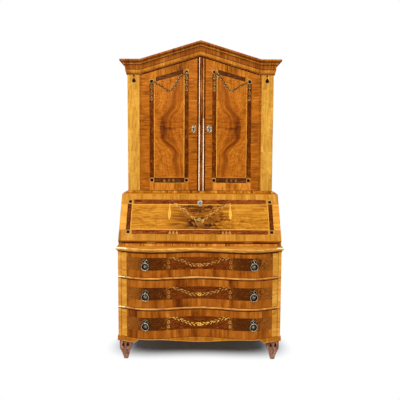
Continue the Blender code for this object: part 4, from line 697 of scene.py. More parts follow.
def add_sprig(pale, dark, path, face, finish, length, width, pitch, seed, splay=0.62, rim=0.0014):
    """A leafy stem: each pale leaf lies on a scorched one that shows as its rim."""
    outline = pointed_leaf(width / length)
    shade = [(u * (1 + 2 * rim / length) - rim / length, v * (1 + 2 * rim / width)) for u, v in outline]
    for bm, shape, high, crown, material in ((pale, outline, INLAY, 0.0004, finish),
                                             (dark, shade, STRINGING, 0.0, SCORCHED)):
        path_leaves(bm, smooth_path(path), leaf_pattern("leaf", shape, high, crown=crown), face, material,
                    Pitch=pitch, Length=length, Splay=splay, Splay_Variation=0.20, Length_Variation=0.20,
                    Seed=seed)


def add_flower(pale, dark, centre, face, finish, radius):
    """An open flower: six petals round a dark eye."""
    outline = pointed_leaf(0.62)
    shade = [(u * 1.14 - 0.05, v * 1.45) for u, v in outline]
    for bm, shape, high, material in ((pale, outline, INLAY, finish), (dark, shade, STRINGING, SCORCHED)):
        path_petals(bm, centre, radius * 0.16, leaf_pattern("petal", shape, high), 6, radius * 0.84, face,
                    material)
    add_shape(dark, face, oval(centre, radius * 0.2, 12), INLAY + 0.0004)


def add_bellflower(pale, dark, top, face, length, width):
    """A drop of the festoon: an open bell on a scorched shade, hanging down, with a dark throat."""
    u, v = top
    half = width / 2
    husk = [(0.10, 0), (0.48, 0.20), (0.72, 0.50), (1.0, 0.84), (0.55, 0.78), (0.34, 0.90), (0.0, 1.0)]
    for bm, grow, high in ((pale, 0.0, INLAY), (dark, 0.0014, STRINGING)):
        right = [(u + a * (half + grow), v + grow - b * (length + 2 * grow)) for a, b in husk]
        add_shape(bm, face, mirrored(right, u, -1), high)
    throat = [(0, 0.12), (0.46, 0.50), (0.22, 0.80), (0, 0.90), (-0.22, 0.80), (-0.46, 0.50)]
    add_shape(dark, face, [(u + a * half, v - b * length) for a, b in throat], INLAY + 0.0002)


def add_tassel(bm, top, face, length, width):
    """A hanging tassel: a knot, a long spindle and a pointed drop under it."""
    u, v = top
    shape = ((0.16, 0), (0.30, 0.03), (0.30, 0.07), (0.16, 0.09), (0.34, 0.20), (0.62, 0.38), (0.96, 0.58),
             (1.0, 0.70), (0.72, 0.80), (0.42, 0.84), (0.66, 0.90), (0.0, 1.0))
    add_shape(bm, face, mirrored([(u + a * width / 2, v - b * length) for a, b in shape], u, -1))


# Camera: the photograph's eye height, distance and slight tilt, with its long lens

FRAME_PIXELS = 400
FOCAL_PIXELS = 528
SENSOR_WIDTH = 36
EYE_DISTANCE = 3.50
EYE_HEIGHT = 1.423
TILT_DOWN = 5.2
LEAN = 0.29


def build_camera():
    camera = bpy.data.cameras.new("camera")
    camera.lens = SENSOR_WIDTH * FOCAL_PIXELS / FRAME_PIXELS
    camera.clip_start = 0.1
    camera.clip_end = 50
    viewer = add_object("camera", camera)
    place = Matrix.Translation((0.0, CASE_FRONT - EYE_DISTANCE, EYE_HEIGHT))
    pitch = Matrix.Rotation(math.radians(90 - TILT_DOWN), 4, "X")
    viewer.matrix_world = place @ pitch @ Matrix.Rotation(math.radians(LEAN), 4, "Z")
    bpy.context.scene.camera = viewer


# Name, place, what it points at, width and height, watts: a key from the upper left, weaker lights
# from the right, the front and overhead
LAMPS = (("left_light", (-2.1, -2.5, 3.8), (0, 0, 1.0), (1.1, 1.1), 112),
         ("right_light", (2.4, -2.9, 3.3), (0, 0, 1.0), (1.0, 1.0), 62),
         ("front_light", (-0.3, -3.9, 2.9), (0, 0, 0.9), (0.9, 0.5), 34),
         ("top_light", (0, -0.9, 4.4), (0, -0.2, 1.0), (2.4, 1.0), 26))
FLOOR_HALF = 14
# The patch of floor that shows the shadow, where the camera sees the paper darker as painted shade: its
# middle's Y, its reach back and forth, its reach sideways as a square, and how fast it comes forward towards
# the feet
SHADOW_MIDDLE = 0.15
SHADOW_REACH = 0.55
SHADOW_SIDE_SQUARE = 0.66
SHADOW_CURVE = 0.30


def build_lamps():
    for name, place, target, (width, height), power in LAMPS:
        light = bpy.data.lights.new(name, "AREA")
        light.shape = "RECTANGLE"
        light.size, light.size_y = width, height
        light.energy = power
        turn = (Vector(target) - Vector(place)).to_track_quat("-Z", "Y").to_matrix().to_4x4()
        add_object(name, light).matrix_world = Matrix.Translation(place) @ turn


def build_surroundings():
    """An even fill light, seen as white by the camera and in gloss."""
    world = bpy.data.worlds.new("studio")
    bpy.context.scene.world = world
    world.use_nodes = True
    tree = world.node_tree
    tree.nodes.clear()
    rays = add_node(tree, "ShaderNodeLightPath").outputs
    seen = add_node(tree, "ShaderNodeMath", {0: rays["Is Camera Ray"], 1: rays["Is Glossy Ray"]})
    seen = add_node(tree, "ShaderNodeMath", {0: seen, 1: rays["Is Transmission Ray"]}, use_clamp=True)
    strength = add_node(tree, "ShaderNodeMapRange", {"Value": seen, "To Min": 0.30, "To Max": 1.0})
    sky = add_node(tree, "ShaderNodeBackground", {"Color": (1, 1, 1, 1), "Strength": strength})
    add_node(tree, "ShaderNodeOutputWorld", {0: sky})
    bpy.context.scene.view_settings.view_transform = "Standard"


def build_floor():
    """Matt white paper. The camera sees it darker and cooler than the light that it throws back, a painted
    shade that deepens the chest's shadow and takes the wood's warm tint out of it, and sees it glow white
    outside a patch that holds the shadow."""
    bm = bmesh.new()
    bmesh.ops.create_grid(bm, x_segments=1, y_segments=1, size=FLOOR_HALF)
    floor = add_object("floor", mesh_from("floor", bm))
    material, tree, point = new_material("studio_floor")
    rays = add_node(tree, "ShaderNodeLightPath").outputs
    # The camera sees the paper darker and bluer than the light it throws back: painted shade, deeper and less
    # warm
    paper = add_node(tree, "ShaderNodeMix", {
        "Factor": rays["Is Camera Ray"], 6: linear("#E8E8E8"), 7: linear("#A0B0C8")}, data_type="RGBA")
    shader = add_node(tree, "ShaderNodeBsdfPrincipled", {
        "Base Color": paper.outputs[2], "Roughness": 0.9, "Specular IOR Level": 0.0})
    place = add_node(tree, "ShaderNodeSeparateXYZ", {0: point}).outputs
    across = add_node(tree, "ShaderNodeMath", {0: place[0], 1: place[0]}, operation="MULTIPLY")
    deep = add_node(tree, "ShaderNodeMath", {0: across, 1: SHADOW_CURVE, 2: place[1]},
                    operation="MULTIPLY_ADD")
    patch = add_node(tree, "ShaderNodeMapping", {
        "Vector": add_node(tree, "ShaderNodeCombineXYZ", {0: across, 1: deep}),
        "Location": (0, -SHADOW_MIDDLE / SHADOW_REACH, 0),
        "Scale": (1 / SHADOW_SIDE_SQUARE, 1 / SHADOW_REACH, 1)})
    away = add_node(tree, "ShaderNodeVectorMath", {0: patch}, operation="LENGTH").outputs["Value"]
    fade = add_node(tree, "ShaderNodeMapRange", {"Value": away, "From Min": 0.32, "From Max": 0.72},
                    interpolation_type="SMOOTHSTEP")
    seen = add_node(tree, "ShaderNodeMath", {0: rays["Is Camera Ray"], 1: fade}, operation="MULTIPLY")
    glow = add_node(tree, "ShaderNodeEmission", {"Color": (1, 1, 1, 1), "Strength": 1.0})
    mix = add_node(tree, "ShaderNodeMixShader", {0: seen, 1: shader, 2: glow})
    add_node(tree, "ShaderNodeOutputMaterial", {0: mix})
    floor.data.materials.append(material)


# Chest

DRAWERS = ("bottom_drawer", "middle_drawer", "top_drawer")
# Foot and head of the burr panels on each drawer, and how far out the end ones reach
PANEL_HEIGHTS = ((0.231, 0.318), (0.439, 0.523), (0.640, 0.724))
PANEL_ENDS = (0.218, 0.490)
CENTRE_PANEL_HALF = 0.214
DRAWER_EASING = 0.0012
PAINTED_SHADOW_HEIGHT = 0.0045
BEAD_REACH = 0.005
# How far a veneer stops short of the edge of its board
EDGE_MARGIN = 0.001


def build_drawer_fronts():
    """Each front as one smooth board, with its crossbanding, burr panels, lines, festoon and a painted shadow
    along its top edge.
    """
    for name, panel in zip(DRAWERS, PANEL_HEIGHTS):
        (_, _, bottom), (half, back, top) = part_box(name + "_front")
        edge, inside = DRAWER_EASING, half - EDGE_MARGIN
        bm = bmesh.new()
        add_loft(bm, [[(x, back, bottom), (x, y + edge, bottom), (x, y, bottom + edge),
                       (x, y, top - edge), (x, y + edge, top), (x, back, top)]
                      for x, y in ((x, serpentine(x)) for x in spaced(-half, half, FINE_STEP))])
        new_piece(name + "_board", bm, DRAWER_CROSSBAND, name, replaced=name + "_front")
        for word, material, areas, high in (
                # Painted shadow along the top edge, under the waist moulding or the rail's bead
                ("grimy_top_edge", PAINTED_SHADE,
                 [((-inside, inside), (top - PAINTED_SHADOW_HEIGHT, top - EDGE_MARGIN))], STRINGING),
                ("end_banding", END_CROSSBAND,
                 both_sides(PANEL_ENDS[1], inside, (bottom + EDGE_MARGIN, top - EDGE_MARGIN)), VENEER),
                ("burr_panels", DRAWER_BURR, both_sides(*PANEL_ENDS, panel), VENEER),
                ("centre_panel", CENTRE_BURR, [((-CENTRE_PANEL_HALF, CENTRE_PANEL_HALF), panel)], VENEER)):
            veneer(f"{name}_{word}", material, name, drawer_face, areas, high, FINE_STEP)
        build_drawer_festoon(name, panel[1])


def build_drawer_festoon(name, high):
    """A festoon of leaves across the centre panel, with a flower in the middle and drops at each end."""
    flower = CORAL_FLOWER if name == "top_drawer" else YELLOW_BOX
    leaf_wood = YELLOW_BOX if name == "bottom_drawer" else TAN_BOX
    pale, dark, petals = bmesh.new(), bmesh.new(), bmesh.new()
    for side in (-1, 1):
        path = [(side * u, high - drop) for u, drop in (
            (0.188, 0.002), (0.150, 0.012), (0.105, 0.032), (0.060, 0.048), (0.020, 0.055))]
        add_line(dark, smooth_path(path), drawer_face, 0.006, STRINGING)
        add_sprig(pale, dark, path, drawer_face, leaf_wood, length=0.027, width=0.0066, pitch=0.0135,
                  seed=3 + side, splay=0.40, rim=0.0018)
        for drop in (0.018, 0.050):
            add_bellflower(pale, dark, (side * 0.205, high - drop), drawer_face, length=0.026, width=0.018)
        bow = arc((side * 0.197, high - 0.008), (0.009, 0.007), 10, 190, 10)
        add_line(pale, bow, drawer_face, 0.0028, INLAY)
    add_flower(petals, dark, (0, high - 0.056), drawer_face, flower, radius=0.016)
    new_piece(name + "_festoon", pale, leaf_wood, name)
    new_piece(name + "_flower", petals, flower, name)
    new_piece(name + "_festoon_shading", dark, SCORCHED, name)


def build_drawer_rails():
    """The dust boards, whose front edge is a half-round bead between the drawers."""
    for name in ("dust_board_lower", "dust_board_upper"):
        low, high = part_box(name)

        def bead(x, y):
            middle, half = (low.z + high.z) / 2, (high.z - low.z) / 2
            return [(x, *place) for place in arc((y, middle), (BEAD_REACH, half), 270, 90, 12)]

        bm = bmesh.new()
        add_loft(bm, [bead(x, serpentine(x)) + [(x, high.y, high.z), (x, high.y, low.z)]
                      for x in spaced(low.x, high.x, FINE_STEP)])
        back = CASE_FRONT + 0.0005
        for side in (-1, 1):
            add_loft(bm, [bead(x, CASE_FRONT) + [(x, back, high.z), (x, back, low.z)]
                          for x in (side * high.x, side * CHEST_HALF)])
        # Painted highlights on the bead's crest and its left end, and painted shade under it
        finish_faces(
            new_piece(name + "_beaded", bm, RAIL_BEAD, replaced=name),
            (PAINTED_CREST_HIGHLIGHT, lambda centre, normal: 0.15 < normal.z < 0.62 and normal.y < -0.3),
            (PAINTED_SHADE, lambda centre, normal: -0.995 < normal.z < -0.55),
            (PAINTED_END_HIGHLIGHT, lambda centre, normal: 0.05 < normal.z < 0.75 and centre.x < -0.502))


def section_ring(section, x, y, x_way, y_way, base_z):
    """Place a moulding's (proud, height) section at a station, its projection along (x_way, y_way)."""
    return [(x + x_way * proud, y + y_way * proud, base_z + height) for proud, height in section]


def waist_section():
    """A small hollow, a fillet and a broad rounded lip under a flat top."""
    hollow = arc((0.0060, 0.0005), (0.0035, 0.0070), 180, 90, 6)
    lip = arc((0.0040, 0.0200), (0.0095, 0.0098), -78, 70, 14)
    return [(0, 0.0005)] + hollow + [(0.0060, 0.0094)] + lip + [(0, 0.0297)]


def clipped(section, top):
    """A section cut off level at a height."""
    points = []
    for (p0, h0), (p1, h1) in zip(section, section[1:] + section[:1]):
        if h0 <= top:
            points.append((p0, h0))
        if (h0 - top) * (h1 - top) < 0:
            points.append((p0 + (p1 - p0) * (top - h0) / (h1 - h0), top))
    return points


def raised(section, bottom):
    """A section without its part under a height."""
    return [(p, -h) for p, h in clipped([(p, -h) for p, h in section], -bottom)]


def dull_top_and_paint_light(piece, base):
    """The moulding's flat top is dulled by wear; painted shade darkens the hollow under its lip, a painted
    highlight lies on its crest to the left, and painted highlights on its ends.
    """
    finish_faces(
        piece, (WORN_TOP, lambda centre, normal: normal.z > 0.96),
        (PAINTED_SHADE, lambda centre, normal: centre.z < base + 0.0058 and normal.z < 0.5),
        (PAINTED_CREST_HIGHLIGHT, lambda centre, normal: 0.30 < normal.z < 0.80 and -0.49 < centre.x < -0.24),
        (PAINTED_END_HIGHLIGHT, lambda centre, normal: 0.10 < normal.z < 0.90 and centre.y < CASE_FRONT
         and not -0.49 < centre.x < 0.515))


LOPER_INNER_X = 0.504
LOPER_DROP = 0.021


def build_waist():
    """The moulding round the chest's top, and the lopers, whose noses continue it at the front."""
    section, base = waist_section(), CHEST_TOP_UNDER_Z
    under_loper = clipped(section, CHEST_TOP_Z - LOPER_DROP - base)

    def run(outline, start, end):
        return [section_ring(outline, x, serpentine(x), 0, -1, base) for x in spaced(start, end, FINE_STEP)]

    bm = bmesh.new()
    for side in (-1, 1):
        back, corner = (section_ring(section, side * CHEST_HALF, y, side, way, base)
                        for y, way in ((CASE_BACK, 0), (CASE_FRONT, -1)))
        add_loft(bm, [back, corner])
        inner = section_ring(section, side * INSIDE_HALF, serpentine(INSIDE_HALF), 0, -1, base)
        add_loft(bm, [corner, inner])
        add_loft(bm, run(under_loper, side * LOPER_INNER_X, side * INSIDE_HALF))
    add_loft(bm, run(section, -LOPER_INNER_X, LOPER_INNER_X))
    dull_top_and_paint_light(new_piece("waist_moulding_turned", bm, GOLDEN_MOULDING,
                           replaced="waist_moulding", crease=40), base)
    for name in ("loper_left", "loper_right"):
        low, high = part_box(name)
        nose = [(-0.002, h) if p == 0 else (p, min(h, high.z - base))
                for p, h in raised(section, low.z - base)]
        bm = bmesh.new()
        add_loft(bm, run(nose, low.x, high.x))
        add_loft(bm, [[(x, serpentine(x) - 0.001, low.z), (x, high.y, low.z), (x, high.y, high.z),
                       (x, serpentine(x) - 0.001, high.z)] for x in (low.x, high.x)])
        dull_top_and_paint_light(new_piece(name + "_bar", bm, GOLDEN_MOULDING, name, replaced=name, crease=40), base)


def build_frieze():
    """The crossbanded edge of the desk's floor, between the fall and the moulding, with a painted shadow under
    the fall.
    """
    low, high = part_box("desk_floor")
    along = (low.x + EDGE_MARGIN, high.x - EDGE_MARGIN)
    veneer("frieze_crossbanding", FRIEZE_WALNUT, "case", flat_face(low.y),
           [(along, (low.z + 0.0005, high.z - 0.0005))], 0.0003)
    # Painted shadow along the top, under the fall's foot
    veneer("frieze_grimy_edge", PAINTED_SHADE, "case", flat_face(low.y),
           [(along, (high.z - 0.0075, high.z - 0.0006))], VENEER)


PLINTH_HEIGHT = 0.0305
PLINTH_THIN = 0.0055
PLINTH_DROP = 0.0345
PLINTH_DROP_HALF = 0.30
PLINTH_PROUD = 0.005
PLINTH_BOARD = 0.022
PLINTH_LOW_EASING = 0.001
PLINTH_TOP_EASING = 0.0015
# Foot and head of the boxwood line, over the plinth's lower edge
PLINTH_LINE = (0.0012, 0.0042)
BRACKET_OUTER_X = 0.44
BRACKET_INNER_X = 0.40
BRACKET_LENGTH = 0.105
OGEE_LENGTH = 0.040
OGEE_RISE = PLINTH_HEIGHT - 0.018
OGEE_STEPS = 12


def plinth_low(x):
    """Height of the front plinth's shaped lower edge at x, as in the CAD."""
    x = abs(x)
    if x >= BRACKET_INNER_X:
        share, drop = (x - BRACKET_INNER_X) / (BRACKET_OUTER_X - BRACKET_INNER_X), PLINTH_HEIGHT
    else:
        share, drop = 1 - x / PLINTH_DROP_HALF, PLINTH_DROP
    return PLINTH_TOP_Z - PLINTH_THIN - (drop - PLINTH_THIN) * ease(share)


def build_plinth():
    """The shaped front, bracketed sides and plain back, with a boxwood line along the lower edge."""
    outer = CHEST_HALF + PLINTH_PROUD
    inner, back, top = outer - PLINTH_BOARD, CASE_FRONT + PLINTH_BOARD, PLINTH_TOP_Z
    stations = spaced(-outer, outer, 0.005)
    bm = bmesh.new()
    rings = []
    for x in stations:
        front = (serpentine(x) if abs(x) < INSIDE_HALF else CASE_FRONT) - PLINTH_PROUD
        low = plinth_low(x)
        rings.append([(x, back, low), (x, front + PLINTH_LOW_EASING, low),
                      (x, front, low + PLINTH_LOW_EASING), (x, front, top - PLINTH_TOP_EASING),
                      (x, front + PLINTH_TOP_EASING, top), (x, back, top)])
    add_loft(bm, rings)
    depth = CASE_BACK - CASE_FRONT
    ogee = [(BRACKET_LENGTH + OGEE_LENGTH * i / OGEE_STEPS, FOOT_HEIGHT + OGEE_RISE * ease(i / OGEE_STEPS))
            for i in range(OGEE_STEPS + 1)]
    lower = ([(PLINTH_BOARD, FOOT_HEIGHT)] + ogee + [(depth - y, z) for y, z in reversed(ogee)]
             + [(depth, FOOT_HEIGHT)])
    for side in (-1, 1):
        add_loft(bm, [[(side * x, CASE_FRONT + y, height) for x, height in (
            (outer, z), (inner, z), (inner, top), (outer, top))] for y, z in lower])
    add_loft(bm, [[(x, CASE_BACK - PLINTH_BOARD, FOOT_HEIGHT), (x, CASE_BACK, FOOT_HEIGHT),
                   (x, CASE_BACK, top), (x, CASE_BACK - PLINTH_BOARD, top)] for x in (-inner, inner)])
    new_piece("plinth_frame", bm, PLINTH_WOOD, replaced="plinth", crease=40)
    bm = bmesh.new()
    add_ribbon(bm, [[(x, plinth_low(x) + height) for height in PLINTH_LINE]
                    for x in stations if abs(x) < INSIDE_HALF],
               lambda u, v, w: drawer_face(u, v, w + PLINTH_PROUD), STRINGING)
    new_piece("plinth_line", bm, BOXWOOD)


FOOT_HALF = 0.040
FOOT_INSET_X = 0.006
FOOT_INSET_Y = 0.046
BLOCK_FOOT, BLOCK_TOP = 0.0845, FOOT_HEIGHT - 0.0003
BLOCK_EASING = 0.0015
BLOCK_CHAMFER = 0.0018
TAPER_CHAMFER = 0.0012
COLLAR_CHAMFER = 0.0015
# The sunk drops: how far each stands off the middle, half its width and height, and its depth
DROP_OFFSET = 0.016
DROP_HALF = (0.0095, 0.019)
DROP_DEPTH = 0.0045
DROP_TAPER = 0.72
SHADE_MARGIN = 0.002
# (half width, height) up the pointed taper and up the collar
TAPER = ((0.0115, 0.0), (0.0148, 0.005), (0.0170, 0.016), (0.0202, 0.030), (0.0244, 0.045), (0.0302, 0.062),
         (0.0348, 0.074), (0.0365, 0.0775))
COLLAR = ((0.0360, 0.0765), (0.0385, 0.0780), (0.0385, 0.0830), (0.0375, 0.0846))


def add_square_column(bm, x, y, profile, chamfer):
    """Add an upright square solid with cut corners through (half width, height) pairs."""
    rings = []
    for a, z in profile:
        b = a - chamfer
        rings.append([(x + u, y + v, z) for u, v in (
            (-b, -a), (b, -a), (a, -b), (a, b), (b, a), (-b, a), (-a, b), (-a, -b))])
    add_loft(bm, rings)


def drop_outline(centre, half_width, half_height):
    """A drop: pointed above, round below."""
    u, v = centre
    shape = ((0, 1.0), (0.34, 0.55), (0.78, 0.05), (1.0, -0.40), (0.80, -0.80), (0.36, -1.0))
    return mirrored([(u + a * half_width, v + b * half_height) for a, b in shape], u, 1)


def add_sunk_drops(cutter, x, y, axis):
    """Add the solids that sink two drops into the face of a foot's block that looks along axis."""
    middle = (BLOCK_TOP + BLOCK_FOOT) / 2
    for offset in (-DROP_OFFSET, DROP_OFFSET):
        rings = []
        for depth, grow in ((-0.002, 1.0), (DROP_DEPTH, DROP_TAPER)):
            away = FOOT_HALF - depth
            ring = []
            for u, v in drop_outline((offset, middle), *DROP_HALF):
                u = offset + (u - offset) * grow
                ring.append((x + (axis[0] * away or u), y + (axis[1] * away or u),
                             middle + (v - middle) * grow))
            rings.append(ring)
        add_loft(cutter, rings)


def build_foot(name, x, y, axes):
    """A square tapered foot: a block with two sunk drops on each face, painted shade in the drops, a collar
    and a pointed taper.
    """
    block, cutter = bmesh.new(), bmesh.new()
    eased = FOOT_HALF - BLOCK_EASING
    add_square_column(block, x, y, ((eased, BLOCK_FOOT), (FOOT_HALF, BLOCK_FOOT + BLOCK_EASING),
                                    (FOOT_HALF, BLOCK_TOP - BLOCK_EASING), (eased, BLOCK_TOP)), BLOCK_CHAMFER)
    for axis in axes:
        add_sunk_drops(cutter, x, y, axis)
    carrier = add_object("block", mesh_from("block", block))
    tool = add_object("drops", mesh_from("drops", cutter))
    cut = carrier.modifiers.new("sink", "BOOLEAN")
    cut.object = tool
    cut.solver = "EXACT"
    bm = bmesh.new()
    bm.from_mesh(evaluated_mesh(carrier))
    for part in (carrier, tool):
        bpy.data.objects.remove(part)
    add_square_column(bm, x, y, TAPER, TAPER_CHAMFER)
    carved = new_piece(name + "_carved", bm, FOOT_WOOD, replaced=name)
    # Painted shade darkens the sunk drops
    finish_faces(carved, (PAINTED_SHADE, lambda centre, normal: (
        BLOCK_FOOT + SHADE_MARGIN < centre.z < BLOCK_TOP - SHADE_MARGIN
        and max(abs(centre.x - x), abs(centre.y - y)) < FOOT_HALF - 0.0012)))
    bm = bmesh.new()
    add_square_column(bm, x, y, COLLAR, COLLAR_CHAMFER)
    new_piece(name + "_collar", bm, FOOT_CAP)


def build_feet():
    for row, y in (("front", CASE_FRONT + FOOT_INSET_Y), ("rear", CASE_BACK - FOOT_INSET_Y)):
        for word, side in (("left", -1), ("right", 1)):
            axes = ((0, -1), (side, 0)) if row == "front" else ((side, 0),)
            build_foot(f"foot_{row}_{word}", side * (CHEST_HALF - FOOT_INSET_X - FOOT_HALF), y, axes)


def build_case_edges():
    """The case sides' front edges, crossbanded like the drawers' ends."""
    rails = [corner.z for word in ("lower", "upper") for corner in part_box("dust_board_" + word)]
    levels = [PLINTH_TOP_Z, *rails, CHEST_TOP_UNDER_Z]
    veneer("case_edge_banding", END_CROSSBAND, "case", case_face, [
        ((side * (INSIDE_HALF + 0.0006), side * (CHEST_HALF - 0.0003)), (low + 0.0005, high - 0.0005))
        for side in (-1, 1) for low, high in zip(levels[::2], levels[1::2])])


# Desk

# The fall's dark bands: ranges up the slope, and out from the middle
FALL_HIGH_BAND = (0.2835, 0.3200)
FALL_LOW_BAND = (0.0495, 0.082)
FALL_SIDE_BAND = (0.475, 0.504)
FALL_RAIL_HALF = 0.462
FALL_TILE_X = 0.4875
FALL_TILE_HALF = 0.0110
TILE_FRAME_WIDTH = 0.0026
# Widths of the level and the upright boxwood lines, and how far in the level ones have their middle
FALL_LINE = 0.0048
FALL_UPRIGHT_LINE = 0.0045
FALL_LINE_IN = 0.004
FALL_DART_HALF = 0.0095
DART_MARGIN = 0.003
# Heights in the fall's festoon are shares of this length up the slope
FALL_DRAWN = 0.3827


def build_fall():
    """The sloping fall: crossbanded all round, dark bands with tiled corners, a field and a festoon."""
    inside, outside = FALL_SIDE_BAND
    edge = FALL_HIGH.x - EDGE_MARGIN
    across = (-edge, edge)
    field = (FALL_LOW_BAND[1], FALL_HIGH_BAND[0])
    bands = (FALL_LOW_BAND, FALL_HIGH_BAND)

    def lay(word, material, areas, high=VENEER):
        veneer("fall_" + word, material, "fall", fall_face, areas, high)

    lay("crossbanding", FALL_CROSSBAND,
        [(across, (EDGE_MARGIN, field[0])), (across, (field[1], FALL_LENGTH - EDGE_MARGIN))])
    lay("end_crossbanding", END_CROSSBAND, both_sides(outside, edge, field))
    lay("dark_rails", DARK_RAIL, [((-FALL_RAIL_HALF, FALL_RAIL_HALF), band) for band in bands], BANDING)
    lay("dark_stiles", DARK_BAND, both_sides(inside, outside, field), BANDING)
    places = [(side * FALL_TILE_X, sum(band) / 2) for band in bands for side in (-1, 1)]
    build_tiles("fall", fall_face, places, FALL_TILE_HALF)
    lay("field", FALL_FIELD, [((-inside, inside), field)])
    level_lines = [((-inside, inside), (v - FALL_LINE / 2, v + FALL_LINE / 2))
                   for v in (field[1] - FALL_LINE_IN, field[0] + FALL_LINE_IN)]
    upright_lines = both_sides(inside - FALL_UPRIGHT_LINE, inside, field)
    lay("stringing", BOXWOOD, level_lines + upright_lines, STRINGING)
    build_fall_festoon()


def build_tiles(name, face, places, half):
    """Ebonised squares, each in a pale frame, where two dark bands meet."""
    for word, material, size, high in (("tiles", EBONISED, half, INLAY),
                                       ("tile_frames", TILE_FRAME, half + TILE_FRAME_WIDTH, STRINGING)):
        veneer(f"{name}_{word}", material, name, face,
               [((u - size, u + size), (v - size, v + size)) for u, v in places], high)


def build_fall_festoon():
    """A deep festoon of long leaves between two tassels, two flowers at its foot, and darts under it."""
    darts, dark, yellow, green, ribbon, tan, horn = (bmesh.new() for _ in range(7))
    top, (low, high) = FALL_HIGH_BAND[0], FALL_LOW_BAND
    for side in (-1, 1):
        path = [(side * u, v * FALL_DRAWN) for u, v in (
            (0.186, 0.760), (0.136, 0.662), (0.102, 0.592), (0.068, 0.518), (0.030, 0.432))]
        add_line(dark, smooth_path(path), fall_face, 0.0040, STRINGING)
        add_sprig(tan, dark, path, fall_face, TAN_BOX, length=0.036, width=0.0085, pitch=0.0160,
                  seed=11 + side, splay=0.34)
        bow = [(0.214, 0.765 * FALL_DRAWN), (0.205, top + 0.001), (0.190, top - 0.003),
               (0.178, 0.735 * FALL_DRAWN)]
        add_line(ribbon, smooth_path([(side * u, v) for u, v in bow]), fall_face, 0.0035, INLAY)
        add_tassel(yellow, (side * 0.2105, 0.733 * FALL_DRAWN), fall_face, length=0.310 * FALL_DRAWN,
                   width=0.023)
        for u in (side * 0.156, side * 0.180, side * 0.204):
            foot = low + DART_MARGIN
            add_shape(darts, fall_face, [(u - FALL_DART_HALF, foot), (u + FALL_DART_HALF, foot),
                                         (u, high - DART_MARGIN)])
    for u, v in ((-0.004, 0.435), (0.016, 0.395)):
        add_flower(green, dark, (u, v * FALL_DRAWN), fall_face, GREEN_FLOWER, radius=0.014)
    add_shape(horn, fall_face, [(u, v * FALL_DRAWN) for u, v in (
        (-0.036, 0.385), (-0.004, 0.375), (0.010, 0.355), (-0.010, 0.275), (-0.022, 0.30))])
    for name, bm, material in (
            ("festoon", tan, TAN_BOX), ("tassels", yellow, YELLOW_BOX), ("darts", darts, ROSY_HOLLY),
            ("horn", horn, DULL_DARTS), ("flowers", green, GREEN_FLOWER), ("ribbons", ribbon, ROSY_HOLLY),
            ("festoon_shading", dark, SCORCHED)):
        new_piece("fall_" + name, bm, material, "fall")


# Cabinet

# Ranges out from the doors' meeting line: the two upright dark bands and the panel between them
DARK_OUTER = (0.332, 0.364)
DARK_INNER = (0.084, 0.115)
DOOR_PANEL_X = (0.117, 0.330)
LEFT_MEETING_X = 0.0165
RIGHT_MEETING_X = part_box("door_astragal")[1].x
DOOR_LOW_BAND = (1.200, 1.238)
DOOR_LINE = 0.002
DOOR_HINGE_MARGIN = 0.005
DOOR_TILE_HALF = 0.0105
# Distance out and height of the upper tiles; the lower ones sit in the low band under them
TILES_AT = ((0.349, 1.921), (0.099, 1.988))
SLANT_HALF = 0.0155
SLANT_X = (0.124, 0.318)
SLANT_RISE = 0.2748
SLANT_Z = 1.9275


def slant(x):
    """Height of the middle of the door's slanting dark band at x, parallel to the pediment."""
    return SLANT_Z + SLANT_RISE * (TILES_AT[0][0] - abs(x))


def slant_low(x):
    return slant(x) - SLANT_HALF


def slant_high(x):
    return slant(x) + SLANT_HALF


def door_top(x):
    """Height of the doors' raked top edge at x."""
    return EAVES_Z + PEDIMENT_RISE * max(0, 1 - abs(x) / PILASTER_X) - DOOR_TOP_GAP


def door_veneer_top(x):
    return door_top(x) - EDGE_MARGIN


